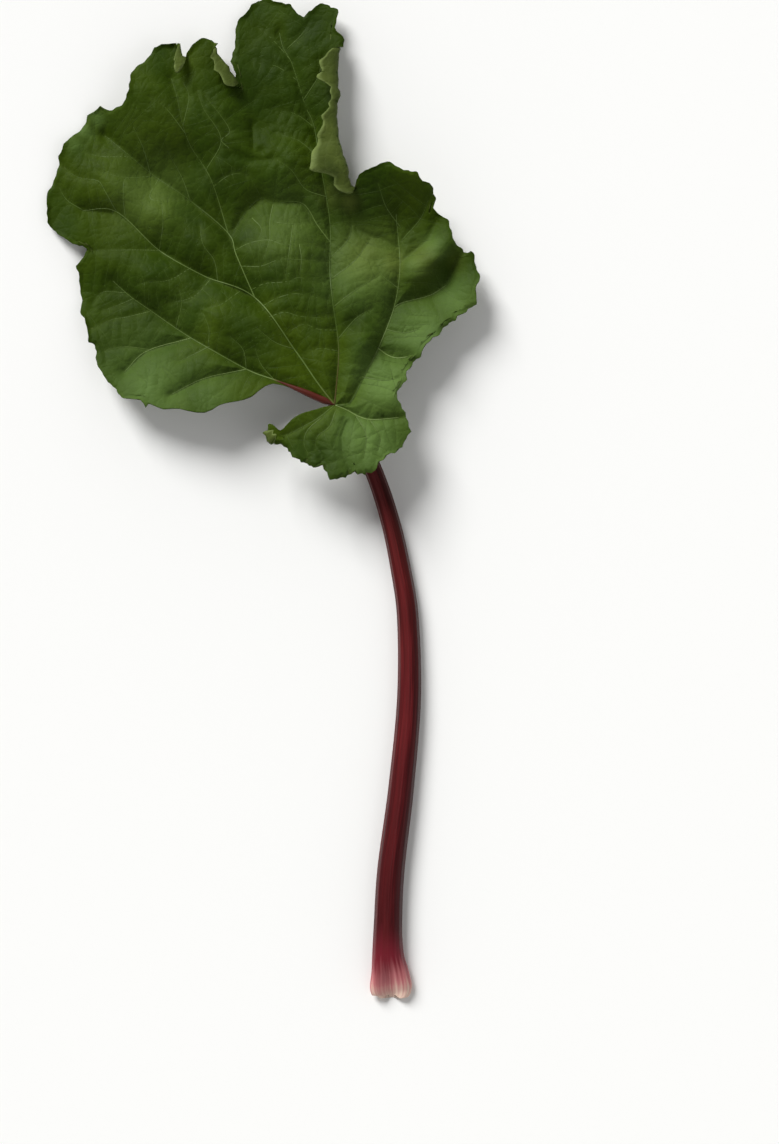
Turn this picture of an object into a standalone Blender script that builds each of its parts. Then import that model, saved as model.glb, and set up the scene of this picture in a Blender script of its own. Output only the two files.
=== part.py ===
"""A rhubarb stalk, pulled from its crown with its leaf on, lying face up on a flat surface.

Metres, +Z up, +Y towards the tip of the leaf.  The origin is under the middle of the object's
box, at the height of the surface that it lies on.  Two pieces: the red leaf stalk and the
green blade that it carries.  Places are first given on a flat drawing, in drawing units with
x to the right and y down, and `to_metres` turns them into the object's own frame.
"""

import math

import bpy
import numpy as np
from mathutils.bvhtree import BVHTree

# Driving dimensions, metres
BLADE_WIDTH = 0.385
BLADE_THICKNESS = 0.0008
STALK_GAP = 0.0008
STALK_LOOK = 0.012
REST_FLAT = 0.0011
ROLL_RADIUS = 0.0045
ROLL_RUFFLE = 0.0016
MARGIN_BAND = 0.0045
VEIN_GROOVE = 0.0022
GROOVE_REACH = 0.0060
GROOVE_LEAST = 0.4
QUILT_HEIGHT = 0.0032
QUILT_REACH = 0.011
SIDE_SWELL = 0.0032
SIDE_REACH = 0.0060
CREASE_ROUNDING = 0.0015
WIDEST_VEIN = 0.0060
RIB_STANDS_OUT = 0.55
RIB_SPREAD = 0.9

# How far the blade's edge turns, in radians: where it rolls over, and in waves elsewhere,
# each wave with its strength, turns for each margin point and start
ROLL_TURN = 2.85
ROLL_TURN_WAVE = 0.15
ROLL_TURN_PACE = 2.1
ROLL_RUFFLE_PACE = 5.3
ROLLED_FROM = (0.004, 0.012)
EDGE_WAVES = ((0.55, 1.9, 0.0), (0.35, 0.83, 1.0))

# The drawing that the outlines are given on
DRAWING_BLADE_WIDTH = 427.0
DRAWING_MIDDLE = (261.5, 500.5)
UNIT = BLADE_WIDTH / DRAWING_BLADE_WIDTH

# The hub is where the stalk meets the blade.
HUB = (335, 406)

# The blade's edge below the bare basal vein, from the hub outwards
SINUS_LEFT = [
    HUB, (305, 394), (276, 385), (264, 389), (252, 399), (238, 403), (223, 406),
    (209, 414), (196, 414), (179, 410), (166, 411), (150, 406),
]
# The blade's margin, clockwise seen from above, from there to the basal flap's tip
LEFT_SIDE = [
    (150, 406), (140, 400), (124, 394), (115, 384), (108, 373), (99, 357), (96, 344),
    (91, 338), (86, 319), (84, 303), (83, 281), (80, 269), (84, 255), (86, 244),
    (73, 241), (61, 231), (53, 223), (48, 217), (49, 198), (53, 179), (62, 160),
    (65, 148), (80, 132), (92, 116), (100, 107),
]
TOP_LEFT = [
    (107, 113), (124, 107), (134, 96), (137, 76), (150, 61), (163, 49), (179, 45),
    (182, 56), (187, 61), (195, 49), (212, 42), (218, 56), (226, 66), (234, 78), (243, 92),
]
TOP_LOBE = [
    (239, 80), (236, 64), (234, 48), (239, 26), (249, 11), (258, 3), (267, 1),
    (277, 2), (289, 8), (301, 16), (309, 16), (319, 8), (330, 8), (335, 16),
    (335, 32), (341, 41),
]
TOP_SIDE = [
    (340, 51), (338, 64), (338, 77), (338, 89), (340, 99), (337, 108), (337, 120),
    (338, 134), (340, 147), (344, 160), (348, 172), (350, 186), (355, 190),
]
EAR = [
    (361, 182), (372, 174), (386, 171), (403, 174), (414, 180), (421, 188), (430, 191),
    (431, 207), (435, 214), (446, 226), (453, 244), (462, 257), (470, 255), (475, 271),
    (475, 284), (474, 297), (470, 306),
]
RIGHT_SIDE = [
    (459, 312), (453, 316), (450, 323), (440, 330), (429, 340), (418, 354), (410, 361),
    (406, 370), (402, 380), (397, 395), (399, 411),
]
FLAP = [
    (406, 427), (402, 440), (392, 451), (383, 458), (372, 469), (363, 475), (357, 469),
    (351, 470), (341, 478), (328, 472), (322, 464), (316, 466), (305, 460), (297, 454),
    (289, 448), (277, 443), (272, 446), (265, 434),
]
# The flap's edge beside the sinus, from the hub outwards
SINUS_RIGHT = [
    HUB, (325, 408), (316, 411), (305, 414), (295, 419), (287, 427), (281, 432),
    (274, 426), (267, 427), (265, 434),
]
STRETCHES = [LEFT_SIDE, TOP_LEFT, TOP_LOBE, TOP_SIDE, EAR, RIGHT_SIDE, FLAP]
MARGIN = [point for stretch in STRETCHES for point in stretch]

# Main veins: route, and width of the rib at its start and end in metres
VEINS = [
    ([HUB, (339, 351), (333, 303), (330, 271), (330, 223), (322, 172), (314, 126),
      (306, 107), (298, 82), (291, 61), (283, 47), (276, 20)], 0.0060, 0.0015),
    ([HUB, (295, 350), (255, 298), (204, 276), (159, 250), (116, 211), (82, 209)],
     0.0055, 0.0012),
    ([(255, 298), (247, 280), (236, 254), (228, 233), (190, 200), (150, 172), (103, 133)],
     0.0038, 0.0012),
    ([(228, 233), (214, 187), (203, 165), (191, 147), (184, 128), (178, 100), (172, 80)],
     0.0028, 0.0010),
    ([HUB, (305, 393), (275, 381), (247, 370), (191, 338), (150, 310), (130, 296),
      (112, 280)], 0.0060, 0.0012),
    ([(191, 338), (147, 351), (125, 372)], 0.0022, 0.0010),
    ([(247, 370), (204, 380), (172, 396)], 0.0022, 0.0010),
    ([HUB, (346, 402), (380, 351), (394, 308), (400, 266), (396, 215)], 0.0048, 0.0012),
    ([(394, 308), (402, 303), (430, 295), (446, 285)], 0.0024, 0.0010),
    ([(380, 351), (408, 359)], 0.0022, 0.0010),
    ([HUB, (347, 411), (370, 421), (395, 424)], 0.0026, 0.0012),
    ([(331, 243), (318, 226), (302, 203), (273, 203), (261, 198), (246, 211), (232, 234)],
     0.0022, 0.0010),
]

# Folds with no vein in them
FOLDS = [
    [(349, 213), (357, 229), (370, 236), (386, 241), (400, 250)],
    [(401, 262), (415, 251), (428, 240), (436, 222)],
    [(446, 285), (452, 270), (457, 259)],
    [(252, 126), (254, 150), (262, 153)],
    [(232, 155), (248, 161), (277, 161)],
]

# Side veins that raise the net that shows from a step away
SIDE_VEINS = [
    [(159, 250), (120, 250), (92, 250)],
    [(116, 211), (105, 191), (98, 181), (78, 177), (62, 166)],
    [(125, 219), (124, 198), (128, 177), (158, 177)],
    [(158, 177), (150, 198), (166, 202), (190, 199)],
    [(82, 209), (66, 199), (58, 186)],
    [(191, 268), (169, 281), (140, 284)],
    [(159, 250), (164, 223), (161, 199)],
    [(218, 282), (215, 262), (204, 246), (200, 226)],
    [(211, 279), (195, 297), (170, 304)],
    [(240, 292), (222, 306), (206, 310)],
    [(176, 328), (182, 305), (180, 290)],
    [(150, 311), (125, 317), (112, 319), (92, 328)],
    [(125, 292), (102, 291), (92, 302)],
    [(133, 298), (116, 305), (102, 310)],
    [(152, 350), (126, 347), (106, 350)],
    [(247, 370), (244, 351), (231, 338)],
    [(209, 346), (210, 330), (204, 314)],
    [(222, 355), (200, 364), (160, 372), (140, 388)],
    [(275, 381), (262, 366), (256, 350)],
    [(295, 350), (276, 344), (258, 330)],
    [(270, 318), (286, 314), (300, 318), (320, 319), (334, 316)],
    [(263, 307), (280, 299), (300, 296), (333, 303)],
    [(252, 290), (266, 285), (286, 284), (300, 280), (316, 284), (331, 283)],
    [(242, 267), (262, 268), (280, 262), (298, 262), (331, 262)],
    [(235, 251), (252, 244), (270, 242), (284, 247), (300, 246), (330, 249)],
    [(275, 223), (292, 225), (316, 222)],
    [(273, 204), (270, 222), (270, 242), (262, 268)],
    [(293, 226), (291, 246), (286, 284)],
    [(300, 246), (302, 262), (300, 280)],
    [(252, 218), (262, 230), (258, 243)],
    [(327, 197), (306, 190), (292, 172), (277, 161)],
    [(320, 160), (300, 142), (276, 134)],
    [(337, 331), (320, 331), (304, 326), (288, 334)],
    [(338, 352), (320, 350), (304, 356)],
    [(330, 258), (348, 240), (352, 222)],
    [(331, 280), (354, 262), (370, 240)],
    [(334, 308), (358, 290), (380, 276)],
    [(338, 340), (356, 320), (372, 310)],
    [(402, 240), (420, 220), (428, 202)],
    [(401, 228), (386, 208), (378, 186)],
    [(400, 290), (382, 276), (376, 262)],
    [(386, 330), (404, 334), (420, 330)],
    [(362, 378), (384, 382), (398, 380)],
    [(316, 128), (296, 114), (276, 110)],
    [(303, 100), (318, 78), (322, 60)],
    [(297, 80), (276, 66), (252, 62)],
    [(287, 48), (300, 36), (308, 24)],
    [(291, 60), (272, 38), (258, 26)],
    [(190, 200), (182, 178), (168, 152)],
    [(206, 171), (222, 142), (205, 112), (198, 92)],
    [(214, 187), (232, 176), (250, 176)],
    [(230, 150), (222, 142), (230, 131), (205, 97)],
    [(184, 128), (190, 100), (184, 84)],
    [(186, 135), (168, 112), (152, 100)],
    [(150, 175), (144, 150), (134, 128)],
    [(150, 175), (126, 178), (100, 172)],
    [(128, 156), (104, 156), (84, 152)],
    [(370, 421), (380, 438), (378, 452)],
    [(347, 411), (356, 434), (354, 460)],
    [(337, 412), (332, 438), (328, 462)],
    [HUB, (320, 423), (300, 436), (280, 438)],
    [(318, 424), (310, 442), (308, 454)],
]

# Where the margin rolls right over: margin point and width of the rolled band in metres
ROLLS = [
    [(30.8, 0.000), (31.3, 0.018), (32.0, 0.024), (32.7, 0.018), (33.2, 0.000)],
    [(35.2, 0.000), (35.8, 0.015), (37.0, 0.020), (38.2, 0.021), (39.0, 0.000)],
    [(55.6, 0.000), (56.0, 0.018), (57.0, 0.027), (58.0, 0.029), (59.0, 0.028), (59.6, 0.020),
     (60.4, 0.018), (61.3, 0.018), (62.4, 0.019), (63.2, 0.023), (64.0, 0.031), (64.7, 0.041),
     (65.4, 0.041), (65.9, 0.029), (67.0, 0.021), (67.6, 0.018), (68.4, 0.000)],
    [(112.4, 0.000), (113.0, 0.012), (114.0, 0.012)],
]

# The sheet's broad form: places on the drawing and their height in millimetres.  Veins lie in
# valleys, the blade swells between them, and low stretches of the margin reach the surface.
HEIGHTS_MM = [
    # along the veins, which lie in valleys
    (335, 406, 32), (339, 351, 27), (331, 271, 19), (328, 210, 14), (316, 140, 13),
    (300, 90, 13), (287, 48, 11), (277, 10, 4), (305, 393, 33), (275, 381, 31),
    (247, 370, 26), (191, 338, 17), (150, 309, 11), (118, 290, 6), (84, 276, 1),
    (295, 350, 26), (255, 298, 20), (204, 276, 16), (159, 250, 11), (113, 212, 7),
    (56, 205, 0), (228, 234, 15), (190, 205, 10), (150, 175, 6), (104, 134, 1),
    (300, 204, 13), (258, 204, 12), (400, 262, 19), (394, 308, 18), (380, 351, 24),
    (347, 411, 32), (370, 421, 36), (395, 424, 37), (182, 52, 14), (200, 160, 16),
    # the left lobe and the band below the crease
    (70, 150, 4), (75, 235, 5), (105, 172, 13), (165, 217, 23), (120, 195, 18),
    (205, 245, 23), (75, 190, 7),
    # the lower left
    (125, 372, 19), (96, 330, 9), (170, 375, 27), (166, 408, 34), (223, 400, 34),
    (205, 372, 29), (150, 278, 20), (215, 318, 29), (110, 265, 10), (262, 325, 30),
    (280, 362, 31),
    # above the crease, to the notch
    (130, 130, 17), (137, 90, 25), (170, 140, 24), (190, 100, 25), (215, 180, 20),
    (212, 48, 13), (243, 98, 12), (225, 110, 23), (240, 140, 22), (262, 132, 13),
    (265, 165, 22), (290, 160, 24), (165, 70, 20),
    # between the upper left vein and the midrib
    (285, 250, 30), (300, 275, 31), (290, 310, 28), (312, 350, 27), (250, 250, 24),
    # the top lobe, highest along its middle
    (240, 45, 5), (258, 6, -1), (255, 75, 10), (318, 30, 9), (322, 75, 15),
    (332, 140, 20), (345, 185, 22),
    # right of the midrib, the ear and the right side
    (355, 215, 13), (366, 250, 15), (348, 300, 29), (352, 330, 26), (365, 345, 34),
    (378, 238, 14), (392, 200, 27), (390, 176, 39), (425, 196, 25),
    (436, 219, 18), (415, 250, 17), (428, 240, 18), (411, 276, 22), (424, 270, 23),
    (436, 261, 24), (449, 245, 23), (410, 297, 16), (424, 291, 13), (437, 287, 12),
    (448, 277, 11), (454, 266, 12), (462, 262, 16), (470, 257, 17), (461, 285, 17),
    (473, 284, 21), (471, 303, 22), (455, 301, 18), (430, 310, 18), (440, 320, 23),
    (420, 345, 28), (405, 362, 29),
    (393, 400, 37), (362, 385, 30),
    # the flap
    (400, 440, 35), (372, 464, 45), (341, 474, 46), (316, 460, 41), (297, 448, 38),
    (270, 438, 36), (310, 420, 34), (340, 440, 41), (325, 436, 39),
]

# The inner grid lines leave a small ring round the hub in these directions: margin point
# number, and degrees counter-clockwise from +X.
HUB_RING = 7.0
HUB_TURNS = [
    (0, 158), (12, 147), (24, 130), (39, 107), (50, 97), (60, 89), (69, 82), (80, 52),
    (86, 36), (94, 22), (98, -8), (105, -70), (110, -120), (114, -168),
]
TURN_SMOOTHINGS = 200
SINUS_STARTS = (0.035, 0.08)
GRID_ROWS = 24
GRID_PASSES = 2500

# Rings of the blade by grid row, and how many columns each passes over
RINGS = [
    (0, 10), (1.5, 8), (3, 6), (4.5, 5), (6, 4), (7.5, 4), (9, 3), (10.5, 3), (12, 2), (13.3, 2),
    (14.6, 2), (15.9, 2), (17.1, 2), (18.3, 2), (19.4, 2), (20.5, 1), (21.6, 1), (22.4, 1),
    (23, 1),
]
BAND_RINGS = [0.25, 0.5, 1.0]
LONG_SPAN = 0.0105

# The stalk's middle line seen from above, from its foot to under the hub, with its width,
# its height and the height of its underside above the surface, in metres
STALK_ROUTE = [
    ((392, 1000), 0.0220, 0.0080, 0.0000),
    ((392, 996), 0.0330, 0.0110, 0.0000),
    ((391, 988), 0.0370, 0.0145, 0.0000),
    ((390, 974), 0.0330, 0.0175, 0.0000),
    ((388, 955), 0.0275, 0.0195, 0.0000),
    ((388, 925), 0.0245, 0.0195, 0.0000),
    ((391, 870), 0.0235, 0.0190, 0.0000),
    ((401, 790), 0.0220, 0.0180, 0.0000),
    ((409, 700), 0.0205, 0.0170, 0.0000),
    ((408, 620), 0.0185, 0.0160, 0.0004),
    ((401, 570), 0.0172, 0.0150, 0.0016),
    ((390, 520), 0.0160, 0.0140, 0.0038),
    ((374, 472), 0.0150, 0.0130, 0.0072),
    ((354, 432), 0.0140, 0.0120, 0.0118),
    ((337, 408), 0.0118, 0.0095, 0.0170),
    ((332, 396), 0.0085, 0.0062, 0.0195),
]
STALK_RINGS = 46
RINGS_CLOSER_AT_FOOT = 1.25
STALK_SIDES = 32
STALK_RIBS = 8
RIB_DEPTH = 0.0005
RIBS_BELOW = 0.3
CHANNEL_DEPTH = 0.0022
CHANNEL_SPREAD = 0.5
FOOT_HOLLOW = 0.0050


def to_metres(points):
    """Drawing units to metres in the object's frame: x stays, y is turned up."""
    points = np.asarray(points, float)
    out = np.empty_like(points)
    out[..., 0] = (points[..., 0] - DRAWING_MIDDLE[0]) * UNIT
    out[..., 1] = (DRAWING_MIDDLE[1] - points[..., 1]) * UNIT
    return out


def smooth_curve(points, u):
    """A Catmull-Rom curve through the points, read at the point numbers u."""
    points = np.asarray(points, float)
    padded = np.vstack([2 * points[0] - points[1], points, 2 * points[-1] - points[-2]])
    span = np.clip(np.floor(u).astype(int), 0, len(points) - 2)
    f = (u - span)[:, None]
    a, b, c, d = (padded[span + i] for i in range(4))
    return 0.5 * (2 * b + (c - a) * f + (2 * a - 5 * b + 4 * c - d) * f**2
                  + (3 * b - a - 3 * c + d) * f**3)


def blend_step(x, start, end):
    """0 before start, 1 after end and a smooth rise between."""
    x = np.clip((x - start) / (end - start), 0, 1)
    return x * x * (3 - 2 * x)


def spline_weights(points, values):
    """Weights of the thin-plate surface through the values, for `plate_height`."""
    n = len(points)
    gap = np.linalg.norm(points[:, None] - points[None], axis=2)
    kernel = np.where(gap > 0, gap**2 * np.log(np.maximum(gap, 1e-12)), 0.0)
    flat = np.hstack([np.ones((n, 1)), points])
    matrix = np.block([[kernel, flat], [flat.T, np.zeros((3, 3))]])
    return np.linalg.solve(matrix, np.concatenate([values, np.zeros(3)]))


def plate_height(places, knots, weights):
    """Height of the thin-plate surface over places, an array of drawing points."""
    total = weights[-3] + places[..., 0] * weights[-2] + places[..., 1] * weights[-1]
    for knot, weight in zip(knots, weights):
        gap = np.linalg.norm(places - knot, axis=-1)
        total = total + weight * gap**2 * np.log(np.maximum(gap, 1e-12))
    return total


def vein_distance(places, route):
    """Distance from places to a route, and how far along the route the nearest point is."""
    route = np.asarray(route, float)
    steps = np.linalg.norm(np.diff(route, axis=0), axis=1)
    ends = np.concatenate([[0], np.cumsum(steps)])
    best = np.full(places.shape[:-1], 1e9)
    share = np.zeros(places.shape[:-1])
    for start, stop, length, before in zip(route[:-1], route[1:], steps, ends[:-1]):
        along = np.clip(((places - start) @ (stop - start)) / length**2, 0, 1)
        gap = np.linalg.norm(places - start - along[..., None] * (stop - start), axis=-1)
        nearer = gap < best
        best = np.where(nearer, gap, best)
        share = np.where(nearer, (before + along * length) / ends[-1], share)
    return best * UNIT, share


KNOTS = np.array([knot[:2] for knot in HEIGHTS_MM], float) / DRAWING_BLADE_WIDTH
KNOT_WEIGHTS = spline_weights(KNOTS, np.array([knot[2] for knot in HEIGHTS_MM], float))


def rounded(gap):
    """A distance with its sharp zero rounded off, so that a crease has a small radius."""
    return np.sqrt(gap**2 + CREASE_ROUNDING**2)


def sheet_height(places):
    """Height of the upper face in metres: the broad form, grooved along the main veins, and
    swollen between the main and side veins, where it rises from each crease as one minus an
    exponential of the distance to it."""
    height = plate_height(places / DRAWING_BLADE_WIDTH, KNOTS, KNOT_WEIGHTS) * 0.001
    groove = np.zeros(places.shape[:-1])
    nearest = np.full(places.shape[:-1], 1.0)
    for route, wide, fine in VEINS:
        gap, share = vein_distance(places, route)
        width = (wide + (fine - wide) * share) / WIDEST_VEIN
        strength = GROOVE_LEAST + (1 - GROOVE_LEAST) * width
        groove = np.maximum(groove, strength * np.exp(-(gap / GROOVE_REACH) ** 2))
        nearest = np.minimum(nearest, gap)
    for route in FOLDS:
        nearest = np.minimum(nearest, vein_distance(places, route)[0])
    side = nearest.copy()
    for route in SIDE_VEINS:
        side = np.minimum(side, vein_distance(places, route)[0])
    return (height - VEIN_GROOVE * groove
            + QUILT_HEIGHT * (1 - np.exp(-rounded(nearest) / QUILT_REACH))
            + SIDE_SWELL * (1 - np.exp(-rounded(side) / SIDE_REACH)))


def rib_depth(places):
    """How far the veins stand out below the underside."""
    depth = np.zeros(places.shape[:-1])
    for route, wide, fine in VEINS:
        gap, share = vein_distance(places, route)
        width = wide + (fine - wide) * share
        stands_out = RIB_STANDS_OUT * width * np.exp(-(gap / (RIB_SPREAD * width)) ** 2)
        depth = np.maximum(depth, stands_out)
    return depth


def points_along(points, shares):
    """Points at shares of the way along a smooth curve through the points."""
    steps = np.linalg.norm(np.diff(np.asarray(points, float), axis=0), axis=1)
    ends = np.concatenate([[0], np.cumsum(steps)]) / steps.sum()
    return smooth_curve(points, np.interp(shares, ends, np.arange(len(points))))


def make_grid():
    """A smooth grid inside the blade's outline, on the drawing: rows from a ring round the hub
    out to the margin, and two columns for each margin point.

    It starts as straight rays.  Then every inner place moves, pass after pass, to the mean of
    its neighbours weighted by the grid's own stretch (Winslow's equations), which keeps the
    cells from folding over in the bays of the margin."""
    u = np.linspace(0, len(MARGIN) - 1, 2 * len(MARGIN) - 1)
    turn = np.radians(np.interp(u, *np.array(HUB_TURNS, float).T))
    for _ in range(TURN_SMOOTHINGS):
        turn[1:-1] = (turn[:-2] + 2 * turn[1:-1] + turn[2:]) / 4
    ring = np.array(HUB, float) + HUB_RING * np.stack([np.cos(turn), -np.sin(turn)], axis=1)
    margin = smooth_curve(MARGIN, u)
    shares = np.linspace(0, 1, GRID_ROWS)
    left, right = (points_along(edge, start + (1 - start) * shares)
                   for edge, start in zip((SINUS_LEFT, SINUS_RIGHT), SINUS_STARTS))
    ring[0], ring[-1] = left[0], right[0]
    grid = ring[None] + shares[:, None, None] * (margin - ring)[None]
    way = np.linspace(0, 1, len(u))[None, :, None]
    grid = (grid + np.exp(-12 * way) * (left[:, None] - grid[:, :1])
            + np.exp(-8 * (1 - way)) * (right[:, None] - grid[:, -1:]))
    grid[:, 0], grid[:, -1] = left, right
    grid[0], grid[-1] = ring, margin
    for _ in range(GRID_PASSES):
        east, west, outer, inner = (grid[1:-1, 2:], grid[1:-1, :-2],
                                    grid[2:, 1:-1], grid[:-2, 1:-1])
        across, outward = (east - west) / 2, (outer - inner) / 2
        pull_across = (outward**2).sum(-1, keepdims=True)
        pull_out = (across**2).sum(-1, keepdims=True)
        shear = (across * outward).sum(-1, keepdims=True)
        corners = grid[2:, 2:] - grid[2:, :-2] - grid[:-2, 2:] + grid[:-2, :-2]
        mean = ((pull_across * (east + west) + pull_out * (outer + inner) - shear / 2 * corners)
                / (2 * (pull_across + pull_out) + 1e-9))
        grid[1:-1, 1:-1] += 0.8 * (mean - grid[1:-1, 1:-1])
    return grid


GRID = make_grid()


def flat_place(u, row):
    """The place on the drawing at margin point numbers u, on one row of the grid."""
    below = min(int(row), GRID_ROWS - 2)
    line = GRID[below] + (row - below) * (GRID[below + 1] - GRID[below])
    return smooth_curve(line, 2 * u)


def margin_roll(u):
    """For each margin point: how far the edge turns, in radians, its band's width, and 1 where
    the edge rolls right over.

    The edge waves up and down all round.  In the rolled stretches it turns right over, so that
    its pale underside shows, as wide as the stretch's own widths say."""
    wave = sum(strength * np.sin(pace * u + start) for strength, pace, start in EDGE_WAVES)
    wide = np.zeros(len(u))
    for stretch in ROLLS:
        numbers, widths = np.array(stretch).T
        wide = np.maximum(wide, np.interp(u, numbers, widths, left=0, right=0))
    rolled = blend_step(wide, *ROLLED_FROM)
    over = ROLL_TURN + ROLL_TURN_WAVE * np.sin(ROLL_TURN_PACE * u)
    turn = wave * (1 - rolled) + rolled * over
    ruffle = wide + ROLL_RUFFLE * np.sin(ROLL_RUFFLE_PACE * u) * rolled
    width = MARGIN_BAND * (1 - rolled) + rolled * ruffle
    return turn, width, rolled


def band_length(share, width, arc, rolled):
    """Distance from the margin along the band at a share of it: even along a plain edge, and
    where it rolls over the first half of the shares lies on the arc."""
    over = np.minimum(2 * share, 1) * arc + np.maximum(2 * share - 1, 0) * (width - arc)
    return (1 - rolled) * share * width + rolled * over


def to_drawing(places):
    """Metres in the object's frame back to drawing units."""
    return np.stack([places[..., 0] / UNIT + DRAWING_MIDDLE[0],
                     DRAWING_MIDDLE[1] - places[..., 1] / UNIT], axis=-1)


def blade_row(u, row, band):
    """Upper face of the blade along one row: inside the margin it is the sheet, and in the
    band beyond, an arc of ROLL_RADIUS turns out of the sheet and then runs on straight."""
    turn, width, rolled = margin_roll(u)
    last = len(MARGIN) - 1
    ahead = to_metres(smooth_curve(MARGIN, np.clip(u + 0.3, 0, last)))
    back = to_metres(smooth_curve(MARGIN, np.clip(u - 0.3, 0, last)))
    out = np.stack([-(ahead - back)[:, 1], (ahead - back)[:, 0]], axis=1)
    out /= np.linalg.norm(out, axis=1)[:, None]
    arc = np.minimum(width, ROLL_RADIUS * np.abs(turn))
    furthest = ROLL_RADIUS * np.sin(np.minimum(arc / ROLL_RADIUS, math.pi / 2))
    drawn_in = furthest * blend_step(row, GRID_ROWS - 4, GRID_ROWS - 1)
    ground = to_metres(flat_place(u, row)) - out * drawn_in[:, None]
    height = sheet_height(to_drawing(ground))
    length = band_length(band, width, arc, rolled)
    curved = np.minimum(length, arc)
    angle = curved / ROLL_RADIUS
    straight = length - curved
    ahead_by = ROLL_RADIUS * np.sin(angle) + straight * np.cos(angle)
    up_by = (ROLL_RADIUS * (1 - np.cos(angle)) + straight * np.sin(angle)) * np.sign(turn)
    return np.column_stack([ground + out * ahead_by[:, None], height + up_by])


def margin_columns():
    """Margin point numbers of the columns: every point, and the middle of each long span."""
    spans = np.linalg.norm(np.diff(np.array(MARGIN, float), axis=0), axis=1) * UNIT
    halves = np.arange(len(MARGIN) - 1)[spans > LONG_SPAN] + 0.5
    return np.sort(np.concatenate([np.arange(len(MARGIN)), halves]))


def stitch(first, second, numbers_first, numbers_second):
    """Triangles between two rows of vertices, going along both by their column numbers."""
    triangles = []
    i = j = 0
    while i < len(first) - 1 or j < len(second) - 1:
        step_first = j == len(second) - 1 or (
            i < len(first) - 1 and numbers_first[i + 1] <= numbers_second[j + 1])
        if step_first:
            triangles.append((first[i], first[i + 1], second[j]))
            i += 1
        else:
            triangles.append((first[i], second[j + 1], second[j]))
            j += 1
    return triangles


def normals(points, triangles):
    """Unit normals at the points, from the triangles round each."""
    a, b, c = (points[triangles[:, i]] for i in range(3))
    faces = np.cross(b - a, c - a)
    total = np.zeros_like(points)
    for i in range(3):
        np.add.at(total, triangles[:, i], faces)
    return total / np.linalg.norm(total, axis=1)[:, None]


def add_object(name, points, triangles, material):
    """A mesh object of its own from points and triangles."""
    mesh = bpy.data.meshes.new(name)
    mesh.from_pydata([tuple(p) for p in points], [], [tuple(t) for t in triangles])
    mesh.materials.append(material)
    mesh.shade_smooth()
    mesh.validate()
    piece = bpy.data.objects.new(name, mesh)
    bpy.context.collection.objects.link(piece)
    return piece


def add_material(name, colour, roughness):
    """A Principled material of one colour."""
    material = bpy.data.materials.new(name)
    material.use_nodes = True
    shader = material.node_tree.nodes["Principled BSDF"]
    shader.inputs["Base Color"].default_value = (*colour, 1)
    shader.inputs["Roughness"].default_value = roughness
    return material


def ceiling(places, points, faces):
    """Height of the lowest face above each place; far away where there is none."""
    tree = BVHTree.FromPolygons(points.tolist(), faces.tolist())
    heights = []
    for x, y in places.reshape(-1, 2):
        hit = tree.ray_cast((x, y, -1.0), (0, 0, 1))[0]
        heights.append(hit.z if hit else 1.0)
    return np.array(heights).reshape(places.shape[:-1])


def blade_solid():
    """Points and faces of the blade: rings round the hub, joined into an upper face, the same
    triangles again for the underside, and a strip round the edge."""
    columns = margin_columns()
    rows = []
    for row, step in RINGS:
        kept = columns[::step]
        if kept[-1] != columns[-1]:
            kept = np.append(kept, columns[-1])
        rows.append((kept, row, 0.0))
    rows += [(columns, GRID_ROWS - 1, band) for band in BAND_RINGS]

    hub = np.array([HUB], float)
    upper = np.vstack([np.column_stack([to_metres(hub), sheet_height(hub)])]
                      + [blade_row(*row) for row in rows])
    places = np.vstack([hub] + [flat_place(kept, row) for kept, row, _ in rows])
    firsts = 1 + np.cumsum([0] + [len(row[0]) for row in rows])
    numbers = [np.arange(start, stop) for start, stop in zip(firsts[:-1], firsts[1:])]

    triangles = [(0, b, a) for a, b in zip(numbers[0][:-1], numbers[0][1:])]
    for inner, outer, row_in, row_out in zip(numbers[:-1], numbers[1:], rows[:-1], rows[1:]):
        triangles += stitch(inner, outer, row_in[0], row_out[0])
    triangles = np.array(triangles)

    depth = BLADE_THICKNESS + rib_depth(places)
    under = upper - normals(upper, triangles) * depth[:, None]
    under[:, 2] = np.maximum(under[:, 2], 0)
    upper[:, 2] = np.maximum(upper[:, 2], BLADE_THICKNESS)

    sides = [n[0] for n in numbers[:-1]], [n[-1] for n in numbers[:-1]][::-1]
    edge = np.concatenate([[0], sides[0], numbers[-1], sides[1], [0]])
    count = len(upper)
    rim = [face for a, b in zip(edge[:-1], edge[1:])
           for face in ((a, b, b + count), (a, b + count, a + count))]
    faces = np.vstack([triangles, triangles[:, ::-1] + count, np.array(rim)])
    return np.vstack([upper, under]), faces


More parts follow.
